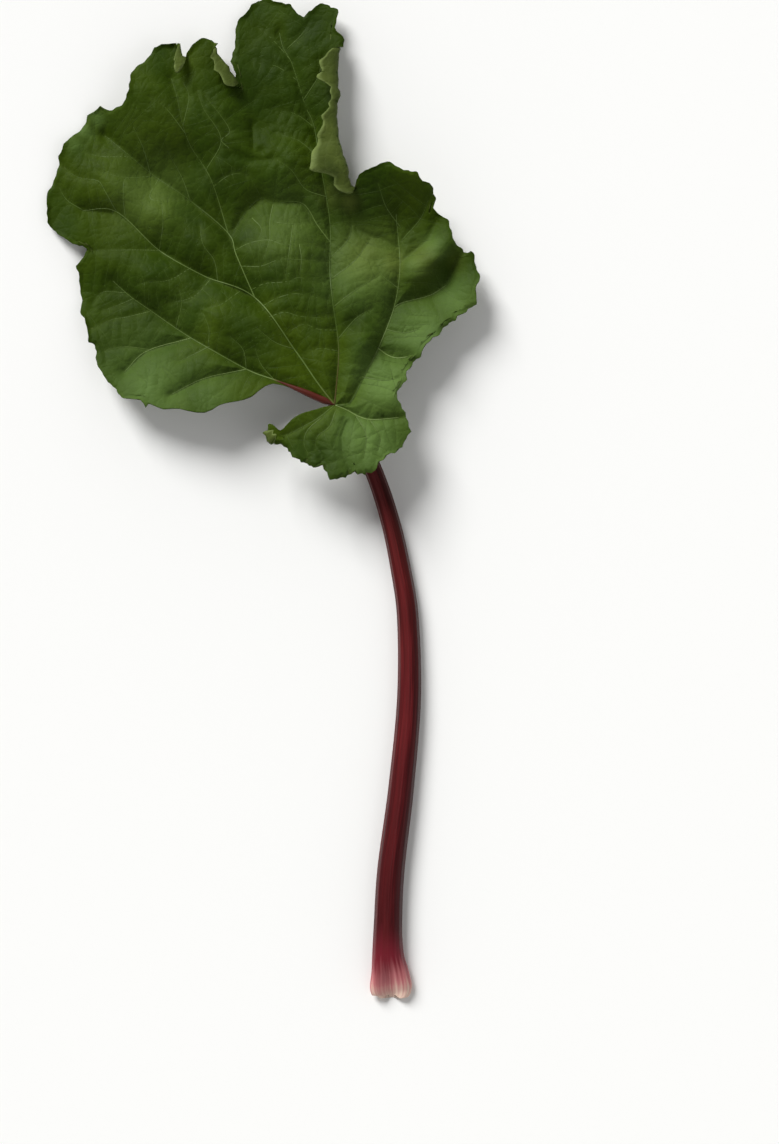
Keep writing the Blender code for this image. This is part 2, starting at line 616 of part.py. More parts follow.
def stalk_solid(blade_points, blade_faces):
    """Points and faces of the leaf stalk: a rounded section with a shallow channel along its
    upper face and ribs along its underside, carried from the clasping foot to the hub."""
    spots = to_metres([stop[0] for stop in STALK_ROUTE])
    sizes = np.array([stop[1:] for stop in STALK_ROUTE])
    steps = np.linalg.norm(np.diff(spots, axis=0), axis=1)
    ends = np.concatenate([[0], np.cumsum(steps)]) / steps.sum()
    shares = np.linspace(0, 1, STALK_RINGS) ** RINGS_CLOSER_AT_FOOT
    numbers = np.interp(shares, ends, np.arange(len(spots)))
    middle = smooth_curve(spots, numbers)
    width, height, lift = smooth_curve(sizes, numbers).T
    ahead = np.gradient(middle, axis=0)
    ahead /= np.linalg.norm(ahead, axis=1)[:, None]
    side = np.stack([ahead[:, 1], -ahead[:, 0]], axis=1)

    angle = np.linspace(0, 2 * math.pi, STALK_SIDES, endpoint=False)
    across = np.sin(angle)
    up = np.cos(angle)
    ribs = RIB_DEPTH * np.cos(STALK_RIBS * angle) * (up < RIBS_BELOW)
    foot = 1 - blend_step(shares, 0.0, 0.08)
    channel = CHANNEL_DEPTH * (1 - blend_step(shares, 0.8, 0.97)) + FOOT_HOLLOW * foot
    dip = np.exp(-(across / CHANNEL_SPREAD) ** 2) * (up > 0)
    x = width[:, None] / 2 * across + ribs * across
    z = (height[:, None] / 2 * (1 + up) + ribs * up - channel[:, None] * dip
         + lift[:, None] - REST_FLAT)
    z = np.maximum(z, 0)
    ground = middle[:, None] + x[..., None] * side[:, None]
    half_ring = STALK_LOOK * ahead[:, None]
    room = np.min([ceiling(ground + k * half_ring, blade_points, blade_faces)
                   for k in (-1, -0.5, 0, 0.5, 1)], axis=0)
    z = np.minimum(z, room - STALK_GAP)
    rings = np.concatenate([ground, z[..., None]], axis=2)

    caps = np.vstack([rings[0].mean(axis=0), rings[-1].mean(axis=0)])
    caps[0, :2] += ahead[0] * FOOT_HOLLOW
    points = np.vstack([rings.reshape(-1, 3), caps])
    faces = []
    for ring in range(STALK_RINGS - 1):
        for k in range(STALK_SIDES):
            a, b = ring * STALK_SIDES + k, ring * STALK_SIDES + (k + 1) % STALK_SIDES
            c, d = a + STALK_SIDES, b + STALK_SIDES
            faces += [(a, b, c), (b, d, c)]
    last = (STALK_RINGS - 1) * STALK_SIDES
    for k in range(STALK_SIDES):
        after = (k + 1) % STALK_SIDES
        faces.append((len(points) - 2, after, k))
        faces.append((len(points) - 1, last + k, last + after))
    return points, faces


def main():
    for old in list(bpy.data.objects):
        bpy.data.objects.remove(old)
    blade = blade_solid()
    add_object("leaf_blade", *blade, add_material("leaf_green", (0.05, 0.11, 0.015), 0.5))
    add_object("stalk", *stalk_solid(*blade), add_material("stalk_red", (0.13, 0.01, 0.02), 0.38))


main()
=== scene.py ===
"""A pulled rhubarb stalk with its leaf, lying face up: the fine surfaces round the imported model.

Metres, +Z up, +Y towards the leaf's tip.  Places are given on the same flat drawing as the
outline, x to the right and y down, and `to_metres` turns them into the frame.
"""

import math

import bpy
import numpy as np
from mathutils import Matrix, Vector


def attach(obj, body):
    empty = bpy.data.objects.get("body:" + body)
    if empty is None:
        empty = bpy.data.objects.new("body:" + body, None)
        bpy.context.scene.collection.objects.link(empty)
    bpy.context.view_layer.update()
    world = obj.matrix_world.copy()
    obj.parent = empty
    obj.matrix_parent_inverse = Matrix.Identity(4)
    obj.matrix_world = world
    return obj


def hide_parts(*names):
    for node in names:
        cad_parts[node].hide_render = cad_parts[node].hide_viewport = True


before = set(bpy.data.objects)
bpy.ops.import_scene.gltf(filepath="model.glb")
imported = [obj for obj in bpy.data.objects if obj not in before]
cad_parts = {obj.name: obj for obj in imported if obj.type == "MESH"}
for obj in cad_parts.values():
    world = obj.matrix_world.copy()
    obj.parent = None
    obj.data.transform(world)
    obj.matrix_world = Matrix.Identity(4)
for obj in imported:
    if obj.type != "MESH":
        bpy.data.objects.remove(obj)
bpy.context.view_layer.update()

MM = 0.001

# Driving dimensions, metres
BLADE_WIDTH = 0.385
BLADE_THICKNESS = 0.0007
# The blade's relief: how high each part of it stands, and how far from its vein it rises
VEIN_GROOVE, GROOVE_REACH = 0.0022, 0.0060
QUILT_HEIGHT, QUILT_REACH = 0.0032, 0.011
SIDE_SWELL, SIDE_REACH = 0.0024, 0.0055
LADDER_SWELL, LADDER_REACH = 0.0013, 0.0026
CREASE_ROUNDING = 0.0008
WIDEST_VEIN = 0.0060
# The groove along the finest vein, as a share of the one along the widest, and how far from
# the side veins and from the ladder anything is looked for
LEAST_GROOVE = 0.4
SIDE_LOOK, LADDER_LOOK = 0.03, 0.02
# The margin's turned edge: its plain band, and how far in radians it rolls over.  A pace is
# in radians for each margin point.
MARGIN_BAND = 0.0045
ROLL_RADIUS = 0.0045
ROLL_TURN, ROLL_TURN_WAVE, ROLL_TURN_PACE = 2.93, 0.15, 2.1
ROLL_RUFFLE, ROLL_RUFFLE_PACE = 0.0016, 5.3
# Widths of the rolled band between which a plain edge becomes a rolled one
ROLLED_FROM = (0.004, 0.012)
# The plain edge's waves: height in radians, pace and start
EDGE_WAVES = ((0.55, 1.9, 0.0), (0.35, 0.83, 1.0))

# The drawing that the outlines are given on
DRAWING_BLADE_WIDTH = 427.0
DRAWING_MIDDLE = (261.5, 500.5)
UNIT = BLADE_WIDTH / DRAWING_BLADE_WIDTH
PICTURE = (779, 1144)
HUB = (335, 406)

SINUS_LEFT = [
    HUB, (305, 394), (276, 385), (264, 389), (252, 399), (238, 403), (223, 406),
    (209, 414), (196, 414), (179, 410), (166, 411), (150, 406),
]
LEFT_SIDE = [
    (150, 406), (140, 400), (124, 394), (115, 384), (108, 373), (99, 357), (96, 344),
    (91, 338), (86, 319), (84, 303), (83, 281), (80, 269), (84, 255), (86, 244),
    (73, 241), (61, 231), (53, 223), (48, 217), (49, 198), (53, 179), (62, 160),
    (65, 148), (80, 132), (92, 116), (100, 107),
]
TOP_LEFT = [
    (107, 113), (124, 107), (134, 96), (137, 76), (150, 61), (163, 49), (179, 45),
    (182, 56), (187, 61), (195, 49), (212, 42), (218, 56), (226, 66), (234, 78), (243, 92),
]
TOP_LOBE = [
    (239, 80), (236, 64), (234, 48), (239, 26), (249, 11), (258, 3), (267, 1),
    (277, 2), (289, 8), (301, 16), (309, 16), (319, 8), (330, 8), (335, 16),
    (335, 32), (341, 41),
]
TOP_SIDE = [
    (340, 51), (338, 64), (338, 77), (338, 89), (340, 99), (337, 108), (337, 120),
    (338, 134), (340, 147), (344, 160), (348, 172), (350, 186), (355, 190),
]
EAR = [
    (361, 182), (372, 174), (386, 171), (403, 174), (414, 180), (421, 188), (430, 191),
    (431, 207), (435, 214), (446, 226), (453, 244), (462, 257), (470, 255), (475, 271),
    (475, 284), (474, 297), (470, 306),
]
RIGHT_SIDE = [
    (459, 312), (453, 316), (450, 323), (440, 330), (429, 340), (418, 354), (410, 361),
    (406, 370), (402, 380), (397, 395), (399, 411),
]
FLAP = [
    (406, 427), (402, 440), (392, 451), (383, 458), (372, 469), (363, 475), (357, 469),
    (351, 470), (341, 478), (328, 472), (322, 464), (316, 466), (305, 460), (297, 454),
    (289, 448), (277, 443), (272, 446), (265, 434),
]
SINUS_RIGHT = [
    HUB, (325, 408), (316, 411), (305, 414), (295, 419), (287, 427), (281, 432),
    (274, 426), (267, 427), (265, 434),
]
STRETCHES = [LEFT_SIDE, TOP_LEFT, TOP_LOBE, TOP_SIDE, EAR, RIGHT_SIDE, FLAP]
MARGIN = [point for stretch in STRETCHES for point in stretch]

# Main veins: route, and width of the rib at its start and end in metres
VEINS = [
    ([HUB, (339, 351), (333, 303), (330, 271), (330, 223), (322, 172), (314, 126),
      (306, 107), (298, 82), (291, 61), (283, 47), (279, 31)], 0.0060, 0.0015),
    ([HUB, (318, 384), (296, 352), (255, 298), (204, 276), (159, 250), (116, 211), (82, 209)],
     0.0055, 0.0012),
    ([(255, 298), (247, 280), (236, 254), (228, 233), (190, 200), (150, 172), (103, 133)],
     0.0038, 0.0012),
    ([(228, 233), (214, 187), (203, 165), (191, 147), (184, 128), (178, 100), (172, 80)],
     0.0028, 0.0010),
    ([HUB, (305, 393), (275, 381), (247, 370), (191, 338), (150, 310), (130, 296),
      (112, 280)], 0.0060, 0.0012),
    ([(191, 338), (147, 351), (125, 372)], 0.0032, 0.0014),
    ([(247, 370), (204, 380), (172, 396)], 0.0034, 0.0014),
    ([HUB, (350, 404), (366, 374), (378, 350), (394, 308), (400, 266), (396, 215)],
     0.0048, 0.0012),
    ([(394, 308), (402, 303), (430, 295), (446, 285)], 0.0024, 0.0010),
    ([(378, 349), (388, 356), (397, 359), (408, 358)], 0.0036, 0.0024),
    ([HUB, (347, 411), (360, 418), (373, 421), (399, 419)], 0.0038, 0.0022),
    ([(331, 243), (318, 226), (302, 203), (273, 203), (261, 198), (246, 211), (232, 234)],
     0.0022, 0.0010),
]
# The vein that is bare of blade beside the hub, how much thicker it is there, and the distances
# from the hub over which it thickens and then thins again, metres
BARE_VEIN = 4
BARE_RADIUS = 0.0027
BARE_FROM, BARE_TO = (0.001, 0.010), (0.018, 0.064)
# Shares of a main vein's width: the radius of its line on the upper face and of its rib below,
# how far the rib's middle lies under the sheet, and how far at least above the surface
LINE_SHARE, RIB_SHARE, RIB_DEPTH_SHARE, RIB_FLOOR_SHARE = 0.13, 0.42, 0.28, 0.34
# How much lower than wide a vein is, and how far in mm a main one is lifted off the sheet at its
# start, and how much more at its end
VEIN_SQUASH = 0.8
LINE_LIFTS = (0.2, 0.35)
# The side veins' and the ladder's lines: lift, radius at the start and what it loses by the
# end, in mm, the power that it is lost by, the tube's sides, and how green they are at each end
SIDE_LINES = (0.2, 0.32, 0.26, 2, 6, (0.58, 0.94))
LADDER_LINES = (0.12, 0.16, 0.08, 1, 4, (1.0, 1.0))
# How far each main vein takes the leaf's own green at its start and at its end, where it is
# not pale, and the shares of its length that this changes between
GREENER = {0: (0.9, 0.75), 1: (0.5, 0.1), 2: (0.1, 0.85), 3: (0.6, 0.8), 4: (0.0, 0.5),
           6: (0.1, 0.4), 7: (1.0, 0.2), 11: (0.15, 0.95)}
GREENER_BETWEEN = (0.2, 0.5)
# Red near the hub: its strength, and the distances in metres that it starts to fade at and
# ends at, for the main veins that have some
BLUSHES = {0: (0.55, 0.010, 0.080), 1: (0.35, 0.000, 0.030), 4: (1.0, 0.052, 0.063)}
# Folds with no vein in them
FOLDS = [
    [(349, 213), (357, 229), (370, 236), (386, 241), (400, 250)],
    [(401, 262), (415, 251), (428, 240), (436, 222)],
    [(446, 285), (452, 270), (457, 259)],
    [(252, 126), (254, 150), (262, 153)],
    [(232, 155), (248, 161), (277, 161)],
    [(347, 424), (342, 438), (343, 454), (350, 470)],
    [(316, 446), (322, 456), (324, 464)],
]
# Side veins that show plainly
SIDE_VEINS = [
    [(159, 250), (120, 250), (92, 250)],
    [(116, 211), (105, 191), (98, 181), (78, 177), (62, 166)],
    [(125, 219), (124, 198), (128, 177), (158, 177)],
    [(158, 177), (150, 198), (166, 202), (190, 199)],
    [(82, 209), (66, 199), (58, 186)],
    [(191, 268), (169, 281), (140, 284)],
    [(159, 250), (164, 223), (161, 199)],
    [(218, 282), (215, 262), (204, 246), (200, 226)],
    [(211, 279), (195, 297), (170, 304)],
    [(240, 292), (222, 306), (206, 310)],
    [(176, 328), (182, 305), (180, 290)],
    [(150, 311), (125, 317), (112, 319), (92, 328)],
    [(125, 292), (102, 291), (92, 302)],
    [(133, 298), (116, 305), (102, 310)],
    [(152, 350), (126, 347), (106, 350)],
    [(247, 370), (244, 351), (231, 338)],
    [(209, 346), (210, 330), (204, 314)],
    [(210, 347), (199, 353), (180, 362)],
    [(275, 381), (262, 366), (256, 350)],
    [(295, 350), (276, 344), (258, 330)],
    [(270, 318), (286, 314), (300, 318), (320, 319), (334, 316)],
    [(263, 307), (280, 299), (300, 296), (333, 303)],
    [(252, 290), (266, 285), (286, 284), (300, 280), (316, 284), (331, 283)],
    [(242, 267), (262, 268), (280, 262), (298, 262), (331, 262)],
    [(235, 251), (252, 244), (270, 242), (284, 247), (300, 246), (330, 249)],
    [(275, 223), (292, 225), (316, 222)],
    [(273, 204), (270, 222), (270, 242), (262, 268)],
    [(293, 226), (291, 246), (286, 284)],
    [(300, 246), (302, 262), (300, 280)],
    [(252, 218), (262, 230), (258, 243)],
    [(327, 197), (306, 190), (292, 172), (277, 161)],
    [(320, 160), (300, 142), (276, 134)],
    [(337, 331), (320, 331), (304, 326), (288, 334)],
    [(338, 352), (320, 350), (304, 356)],
    [(330, 258), (348, 240), (352, 222)],
    [(331, 280), (354, 262), (370, 240)],
    [(334, 308), (358, 290), (380, 276)],
    [(338, 340), (356, 320), (372, 310)],
    [(402, 240), (420, 220), (428, 202)],
    [(401, 228), (386, 208), (378, 186)],
    [(400, 290), (382, 276), (376, 262)],
    [(386, 330), (404, 334), (420, 330)],
    [(362, 378), (384, 382), (398, 380)],
    [(316, 128), (296, 114), (276, 110)],
    [(303, 100), (318, 78), (322, 60)],
    [(297, 80), (276, 66), (252, 62)],
    [(287, 48), (300, 36), (308, 24)],
    [(291, 60), (272, 38), (258, 26)],
    [(190, 200), (182, 178), (168, 152)],
    [(206, 171), (222, 142), (205, 112), (198, 92)],
    [(214, 187), (232, 176), (250, 176)],
    [(230, 150), (222, 142), (230, 131), (205, 97)],
    [(184, 128), (190, 100), (184, 84)],
    [(186, 135), (168, 112), (152, 100)],
    [(150, 175), (144, 150), (134, 128)],
    [(150, 175), (126, 178), (100, 172)],
    [(128, 156), (104, 156), (84, 152)],
    [(370, 421), (380, 438), (378, 452)],
    [(355, 415), (366, 436), (364, 460)],
    [HUB, (318, 420), (300, 430), (284, 438)],
    [(322, 419), (308, 432), (305, 446), (311, 458)],
    [(336, 412), (330, 428), (318, 438), (316, 450)],
]

HEIGHTS_MM = [
    # along the veins, which lie in valleys
    (335, 406, 32), (339, 351, 27), (331, 271, 19), (328, 210, 14), (316, 140, 13),
    (300, 90, 13), (287, 48, 11), (277, 10, 4), (305, 393, 33), (275, 381, 31),
    (247, 370, 26), (191, 338, 17), (150, 309, 11), (118, 290, 6), (84, 276, 1),
    (295, 350, 26), (255, 298, 20), (204, 276, 16), (159, 250, 11), (113, 212, 7),
    (56, 205, 0), (228, 234, 15), (190, 205, 10), (150, 175, 6), (104, 134, 1),
    (300, 204, 13), (258, 204, 12), (400, 262, 19), (394, 308, 18), (380, 351, 24),
    (347, 411, 32), (370, 421, 36), (395, 424, 37), (182, 52, 14), (200, 160, 16),
    # the left lobe and the band below the crease
    (70, 150, 4), (75, 235, 5), (105, 172, 13), (165, 217, 23), (120, 195, 18),
    (205, 245, 23), (75, 190, 7),
    # the lower left
    (125, 372, 19), (96, 330, 9), (170, 375, 25), (166, 408, 32), (223, 400, 32),
    (205, 372, 27), (150, 278, 20), (215, 318, 29), (110, 265, 10), (262, 325, 30),
    (280, 362, 31),
    # above the crease, to the notch
    (130, 130, 17), (137, 90, 25), (170, 140, 24), (190, 100, 25), (215, 180, 20),
    (212, 48, 13), (243, 98, 12), (225, 110, 23), (240, 140, 22), (262, 132, 13),
    (265, 165, 22), (290, 160, 24), (165, 70, 20),
    # between the upper left vein and the midrib
    (285, 250, 30), (300, 275, 31), (290, 310, 28), (312, 350, 27), (250, 250, 24),
    # the top lobe, highest along its middle
    (240, 45, 5), (258, 6, -1), (255, 75, 10), (318, 30, 9), (322, 75, 15),
    (332, 140, 20), (345, 185, 22),
    # right of the midrib, the ear and the right side
    (355, 215, 13), (366, 250, 15), (348, 300, 29), (352, 330, 26), (365, 345, 34),
    (378, 238, 14), (392, 200, 27), (390, 176, 39), (425, 196, 25),
    (436, 219, 18), (415, 250, 17), (428, 240, 18), (411, 276, 22), (424, 270, 23),
    (436, 261, 24), (449, 245, 23), (410, 297, 16), (424, 291, 13), (437, 287, 12),
    (448, 277, 11), (454, 266, 12), (462, 262, 16), (470, 257, 17), (461, 285, 17),
    (473, 284, 21), (471, 303, 22), (455, 301, 18), (430, 310, 18), (440, 320, 23),
    (420, 345, 28), (405, 362, 29),
    (393, 400, 37), (362, 385, 30),
    # the flap
    (400, 440, 35), (372, 464, 45), (341, 474, 46), (316, 460, 41), (297, 448, 38),
    (270, 438, 36), (310, 420, 34), (340, 440, 41), (325, 436, 39),
]

# Where the upper face gets a painted sheen, a pale tint where it tilts towards the light, and
# painted shade, a deeper green where it turns away: place on the drawing, size across there, and
# strength
PAINTED_SHEEN_SPOTS = [
    ((368, 438), 36, 0.9), ((318, 444), 26, 0.15), ((386, 384), 32, 1.0), ((420, 335), 34, 0.8),
    ((455, 300), 26, 0.7), ((358, 268), 40, 0.55), ((155, 388), 48, 0.65), ((210, 395), 30, 0.5),
    ((150, 192), 34, 0.4), ((288, 226), 36, 0.4), ((432, 248), 14, 0.7), ((415, 266), 13, 0.6),
    ((148, 388), 22, 0.8),
    ((96, 118), 8, 0.75), ((86, 131), 8, 0.65), ((75, 143), 8, 0.5),
]
# Where the green is yellower.  The last two spots, below the rolled edge, are painted light that
# lifts the rolled edge's cast shadow.
WARM_AND_PAINTED_LIGHT_SPOTS = [
    ((366, 256), 30, 0.6), ((392, 262), 16, 0.7), ((422, 260), 18, 0.6), ((150, 192), 30, 0.25),
    ((288, 226), 30, 0.2), ((455, 262), 10, 0.4),
    ((350, 203), 9, 1.0), ((330, 196), 13, 0.6),
]
# Painted shade: a darker green where the surface turns away from the light.  The two smallest, on
# the flap, are a real small blemish.
PAINTED_SHADE_SPOTS = [
    ((378, 208), 27, 0.9), ((352, 322), 11, 0.9), ((440, 270), 16, 0.7), ((245, 340), 30, 0.6),
    ((262, 134), 26, 0.5), ((150, 150), 46, 0.4), ((232, 160), 40, 0.4), ((306, 60), 30, 0.4),
    ((312, 300), 26, 0.3), ((120, 262), 34, 0.4), ((300, 176), 24, 0.4), ((312, 92), 22, 0.8),
    ((298, 26), 20, 0.9), ((275, 105), 34, 0.6), ((268, 50), 40, 0.75), ((215, 85), 26, 0.4),
    ((262, 139), 11, 0.7), ((318, 200), 18, 0.7), ((190, 370), 20, 0.4),
    ((322, 446), 16, 0.5), ((383, 417), 2.2, 1.3), ((378, 415), 1.5, 1.0),
]

# The blade's grid starts on a ring round the hub.  These are its size on the drawing and, for
# some margin points, the direction in degrees in which the grid leaves it.
HUB_RING = 7.0
HUB_TURNS = [
    (0, 158), (12, 147), (24, 130), (39, 107), (50, 97), (60, 89), (69, 82), (80, 52),
    (86, 36), (94, 22), (98, -8), (105, -70), (110, -120), (114, -168),
]
TURN_SMOOTHINGS = 200
OUT_SMOOTHINGS = 80
# How far along the margin, in its points, the direction out of the sheet is taken from
MARGIN_SHIFT = 0.3
# How far in from the margin the sheet is drawn in to make room for its turned edge, metres
EDGE_REACH = 0.014
# Shares of the two sinus edges at which the grid meets them, and how fast each one's form
# fades into the grid
SINUS_STARTS = (0.035, 0.08)
SINUS_FADES = (12, 8)
GRID_ROWS = 24
GRID_PASSES = 2500
GRID_PACE = 0.8

# The ladder of fine cross veins, on the drawing: spacing along a vein, longest length, step
# that each grows in, angle to the vein in degrees, and how much they wander
RUNG_SPACING = 13
RUNG_LENGTH = 40
RUNG_STEP = 3.0
RUNG_ANGLE = 80
RUNG_WANDER = 0.06

# The stalk from its foot up: place, width, height, and how far it lies off the surface
STALK_ROUTE = [
    ((392, 1000), 0.0220, 0.0080, 0.0000),
    ((392, 996), 0.0330, 0.0110, 0.0000),
    ((391, 988), 0.0370, 0.0145, 0.0000),
    ((390, 974), 0.0330, 0.0175, 0.0000),
    ((388, 955), 0.0275, 0.0195, 0.0000),
    ((388, 925), 0.0245, 0.0195, 0.0000),
    ((391, 870), 0.0235, 0.0190, 0.0000),
    ((401, 790), 0.0220, 0.0180, 0.0000),
    ((409, 700), 0.0205, 0.0170, 0.0000),
    ((408, 620), 0.0185, 0.0160, 0.0004),
    ((401, 570), 0.0172, 0.0150, 0.0016),
    ((390, 520), 0.0160, 0.0140, 0.0038),
    ((374, 472), 0.0150, 0.0130, 0.0072),
    ((354, 432), 0.0140, 0.0120, 0.0118),
    ((337, 408), 0.0118, 0.0095, 0.0170),
    ((332, 396), 0.0085, 0.0062, 0.0195),
]
REST_FLAT = 0.0011
STALK_RIBS = 8
RIB_DEPTH = 0.0005
CHANNEL_DEPTH = 0.0022
SHOULDER_HEIGHT = 0.0009
SEAM_HEIGHT = 0.0005
FOOT_HOLLOW = 0.0050
# Places round the section, from -1 to 1 of its half width: the middle and spread of the channel,
# its shoulders, the raised seam beside it, and a painted highlight in it, a lighter band left of
# its middle where the light falls
CHANNEL = (0.0, 0.5)
SHOULDER = (0.80, 0.12)
SEAM = (0.08, 0.10)
PAINTED_LIT_BAND = (-0.28, 0.32)
# Where the painted shade down the right side, away from the light, begins and is full, the same
# way
PAINTED_SHADE_SIDE = (0.12, 0.55)
# Heights round the section, from -1 to 1, between which the ribs end and the channel begins
RIBS_END = (0.1, 0.5)
UPPER_SIDE = (0.0, 0.35)
# Shares of the stalk's length: the foot ends, the channel runs out, the blade covers it
FOOT_END = 0.08
CHANNEL_END = (0.8, 0.97)
COVERED_FROM = 0.8
RINGS_CLOSER_AT_FOOT = 1.25

# Where the margin rolls right over: margin point and width of the rolled band in metres
ROLLS = [
    [(30.6, 0.000), (31.2, 0.020), (32.0, 0.029), (32.7, 0.023), (33.2, 0.000)],
    [(35.2, 0.000), (35.8, 0.015), (37.0, 0.020), (38.2, 0.021), (39.0, 0.000)],
    [(55.6, 0.000), (56.0, 0.016), (57.0, 0.026), (57.6, 0.024), (58.3, 0.029), (58.8, 0.023),
     (59.15, 0.014), (59.7, 0.018), (60.1, 0.019), (60.6, 0.014), (61.3, 0.018), (62.0, 0.022),
     (63.0, 0.026), (63.6, 0.029), (64.2, 0.034), (64.7, 0.040), (65.1, 0.044), (65.5, 0.044),
     (65.8, 0.034), (66.1, 0.024), (67.0, 0.022), (67.6, 0.018), (68.4, 0.000)],
    [(111.7, 0.000), (112.3, 0.015), (113.0, 0.019), (114.0, 0.019)],
]
# Shifts along the margin over which a rolled band's width is averaged
ROLL_SHIFTS = (-0.24, -0.12, 0.0, 0.12, 0.24)
# How far the side veins stop short of a rolled margin, on the drawing
ROLL_CLEAR = 9.0
# Pleats across a rolled part: height in metres, pace along the margin and start, and how far
# past the roll they take to rise
PLEATS = ((0.0010, 4.6, 0.5), (0.0007, 9.1, 2.0))
PLEAT_REACH = 0.012
# How far a rolled edge's pale rim fades into it
RIM_REACH = 0.0011
# Small teeth along the margin, metres, their paces, how much deeper they are on the flap, and
# the margin points between which they deepen
TEETH = (0.0006, 0.0004)
TEETH_PACES = (5.7, 1.3, 11.3)
FLAP_TEETH = 1.2
FLAP_FROM = (95, 98)
# How far the paler green beside the side veins and beside the ladder reaches
BESIDE_SIDES, BESIDE_LADDER = 0.0022, 0.0013

# How finely the surfaces are made
BLADE_COLUMNS = 697
BLADE_ROWS = 121
HUB_ROWS = 3
BAND_ROWS = 14
# Shares of the way from hub to margin from which every second and every column is used
MIDDLE_FROM = 0.16
FINE_FROM = 0.50
# Rows nearest the margin whose underside follows the upper face, and the rows and columns
# round a place over which the relief's lowest point is taken elsewhere
EDGE_ROWS = 4
RELIEF_AROUND = (2, 6)
# Spacing of the rings along the main veins and along the finer ones, metres
MAIN_RINGS, FINE_RINGS = 0.0025, 0.003
MAIN_SIDES = 10
STALK_RINGS = 420
STALK_SIDES = 96

# Sizes of the patterns in the materials, metres: changes of green from lobe to lobe, and from
# one field between veins to the next
LOBE_PATCH = 0.110
VEIN_PATCH = 0.026
# Meshes of the net of fine veins, and of the next finer one, which is about 1.5 mm in a real
# leaf and drawn at 3.2 mm so that it shows
NET_MESH = 0.0085
SMALL_MESH = 0.0032
# The skin's grain is about 0.5 mm in a real leaf, and drawn at 3 mm so that it shows
SKIN_GRAIN = 0.0030
# Streaks and fibres round the stalk, whose radius is 10 mm
STALK_RADIUS = 0.010
STREAK_WIDTH = 0.0016
FIBRE_WIDTH = 0.0006
STALK_BLOTCH = 0.045

FLOOR_REACH = 4
# Lights: direction that each comes from, how widely it is spread in degrees, and its power
LIGHTS = [
    ("key", (-0.68, 1.06, 0.85), 28, 3.85),
    ("fill", (0.9, -0.5, 1.3), 40, 0.3),
]
LENS_MM = 85
SENSOR_MM = 36
# The height above the surface that the camera frames
FRAMED_HEIGHT = 0.015


def to_metres(points):
    """Drawing units to metres in the frame: x stays, y is turned up."""
    points = np.asarray(points, float)
    return np.stack([(points[..., 0] - DRAWING_MIDDLE[0]) * UNIT,
                     (DRAWING_MIDDLE[1] - points[..., 1]) * UNIT], axis=-1)


def to_drawing(places):
    """Metres in the frame back to drawing units."""
    return np.stack([places[..., 0] / UNIT + DRAWING_MIDDLE[0],
                     DRAWING_MIDDLE[1] - places[..., 1] / UNIT], axis=-1)


def smooth_curve(points, u):
    """A Catmull-Rom curve through the points, read at the point numbers u: in each span the
    cubic whose slope at a point is half the step between that point's neighbours."""
    points = np.asarray(points, float)
    padded = np.vstack([2 * points[0] - points[1], points, 2 * points[-1] - points[-2]])
    span = np.clip(np.floor(u).astype(int), 0, len(points) - 2)
    f = (u - span)[:, None]
    a, b, c, d = (padded[span + i] for i in range(4))
    return 0.5 * (2 * b + (c - a) * f + (2 * a - 5 * b + 4 * c - d) * f**2
                  + (3 * b - a - 3 * c + d) * f**3)


def steps_along(points):
    """The distance from each point, or row of points, to the next."""
    return np.linalg.norm(np.diff(np.asarray(points, float), axis=0), axis=-1)


def running(steps):
    """The distance from the start to each point, from the steps between them."""
    return np.concatenate([[0], np.cumsum(steps)])


def unit(vectors):
    """Vectors of length one in the same directions."""
    return vectors / np.linalg.norm(vectors, axis=-1, keepdims=True)


def bump_at(place, middle_and_spread):
    """A smooth hump of height one: the exponential of minus the squared distance from its
    middle over its spread."""
    middle, spread = middle_and_spread
    return np.exp(-((place - middle) / spread) ** 2)


def ridge_at(place, middle_and_spread):
    """A sharp ridge of height one: the exponential of minus the distance over its spread."""
    middle, spread = middle_and_spread
    return np.exp(-np.abs(place - middle) / spread)


def point_numbers(points, shares):
    """Point numbers at shares of the way along the points, by distance."""
    steps = steps_along(points)
    return np.interp(shares, running(steps) / steps.sum(), np.arange(len(points)))


def blend_step(x, start, end):
    """0 before start, 1 after end and a smooth cubic rise between."""
    x = np.clip((x - start) / (end - start), 0, 1)
    return x * x * (3 - 2 * x)


def spline_weights(points, values):
    """Weights of the thin-plate surface through the values: the sum over the points of
    distance squared times its logarithm, plus a plane."""
    n = len(points)
    gap = np.linalg.norm(points[:, None] - points[None], axis=2)
    kernel = gap**2 * np.log(np.maximum(gap, 1e-12))
    flat = np.hstack([np.ones((n, 1)), points])
    matrix = np.block([[kernel, flat], [flat.T, np.zeros((3, 3))]])
    return np.linalg.solve(matrix, np.concatenate([values, np.zeros(3)]))


KNOTS = np.array([knot[:2] for knot in HEIGHTS_MM], float) / DRAWING_BLADE_WIDTH
KNOT_WEIGHTS = spline_weights(KNOTS, np.array([knot[2] for knot in HEIGHTS_MM], float))


def plate_height(places):
    """Height in millimetres of the thin-plate surface over places on the drawing."""
    places = places / DRAWING_BLADE_WIDTH
    total = KNOT_WEIGHTS[-3] + places @ KNOT_WEIGHTS[-2:]
    for knot, weight in zip(KNOTS, KNOT_WEIGHTS):
        squared = ((places - knot) ** 2).sum(-1)
        total = total + weight * squared * 0.5 * np.log(np.maximum(squared, 1e-24))
    return total


def vein_distance(places, route):
    """Distance in metres from places to a route, and the share of the route at which the
    nearest point lies."""
    route = np.asarray(route, float)
    steps = steps_along(route)
    ends = running(steps)
    best = np.full(places.shape[:-1], np.inf)
    share = np.zeros(places.shape[:-1])
    for start, stop, length, before in zip(route[:-1], route[1:], steps, ends[:-1]):
        along = np.clip(((places - start) @ (stop - start)) / length**2, 0, 1)
        gap = np.linalg.norm(places - start - along[..., None] * (stop - start), axis=-1)
        nearer = gap < best
        best = np.where(nearer, gap, best)
        share = np.where(nearer, (before + along * length) / ends[-1], share)
    return best * UNIT, share


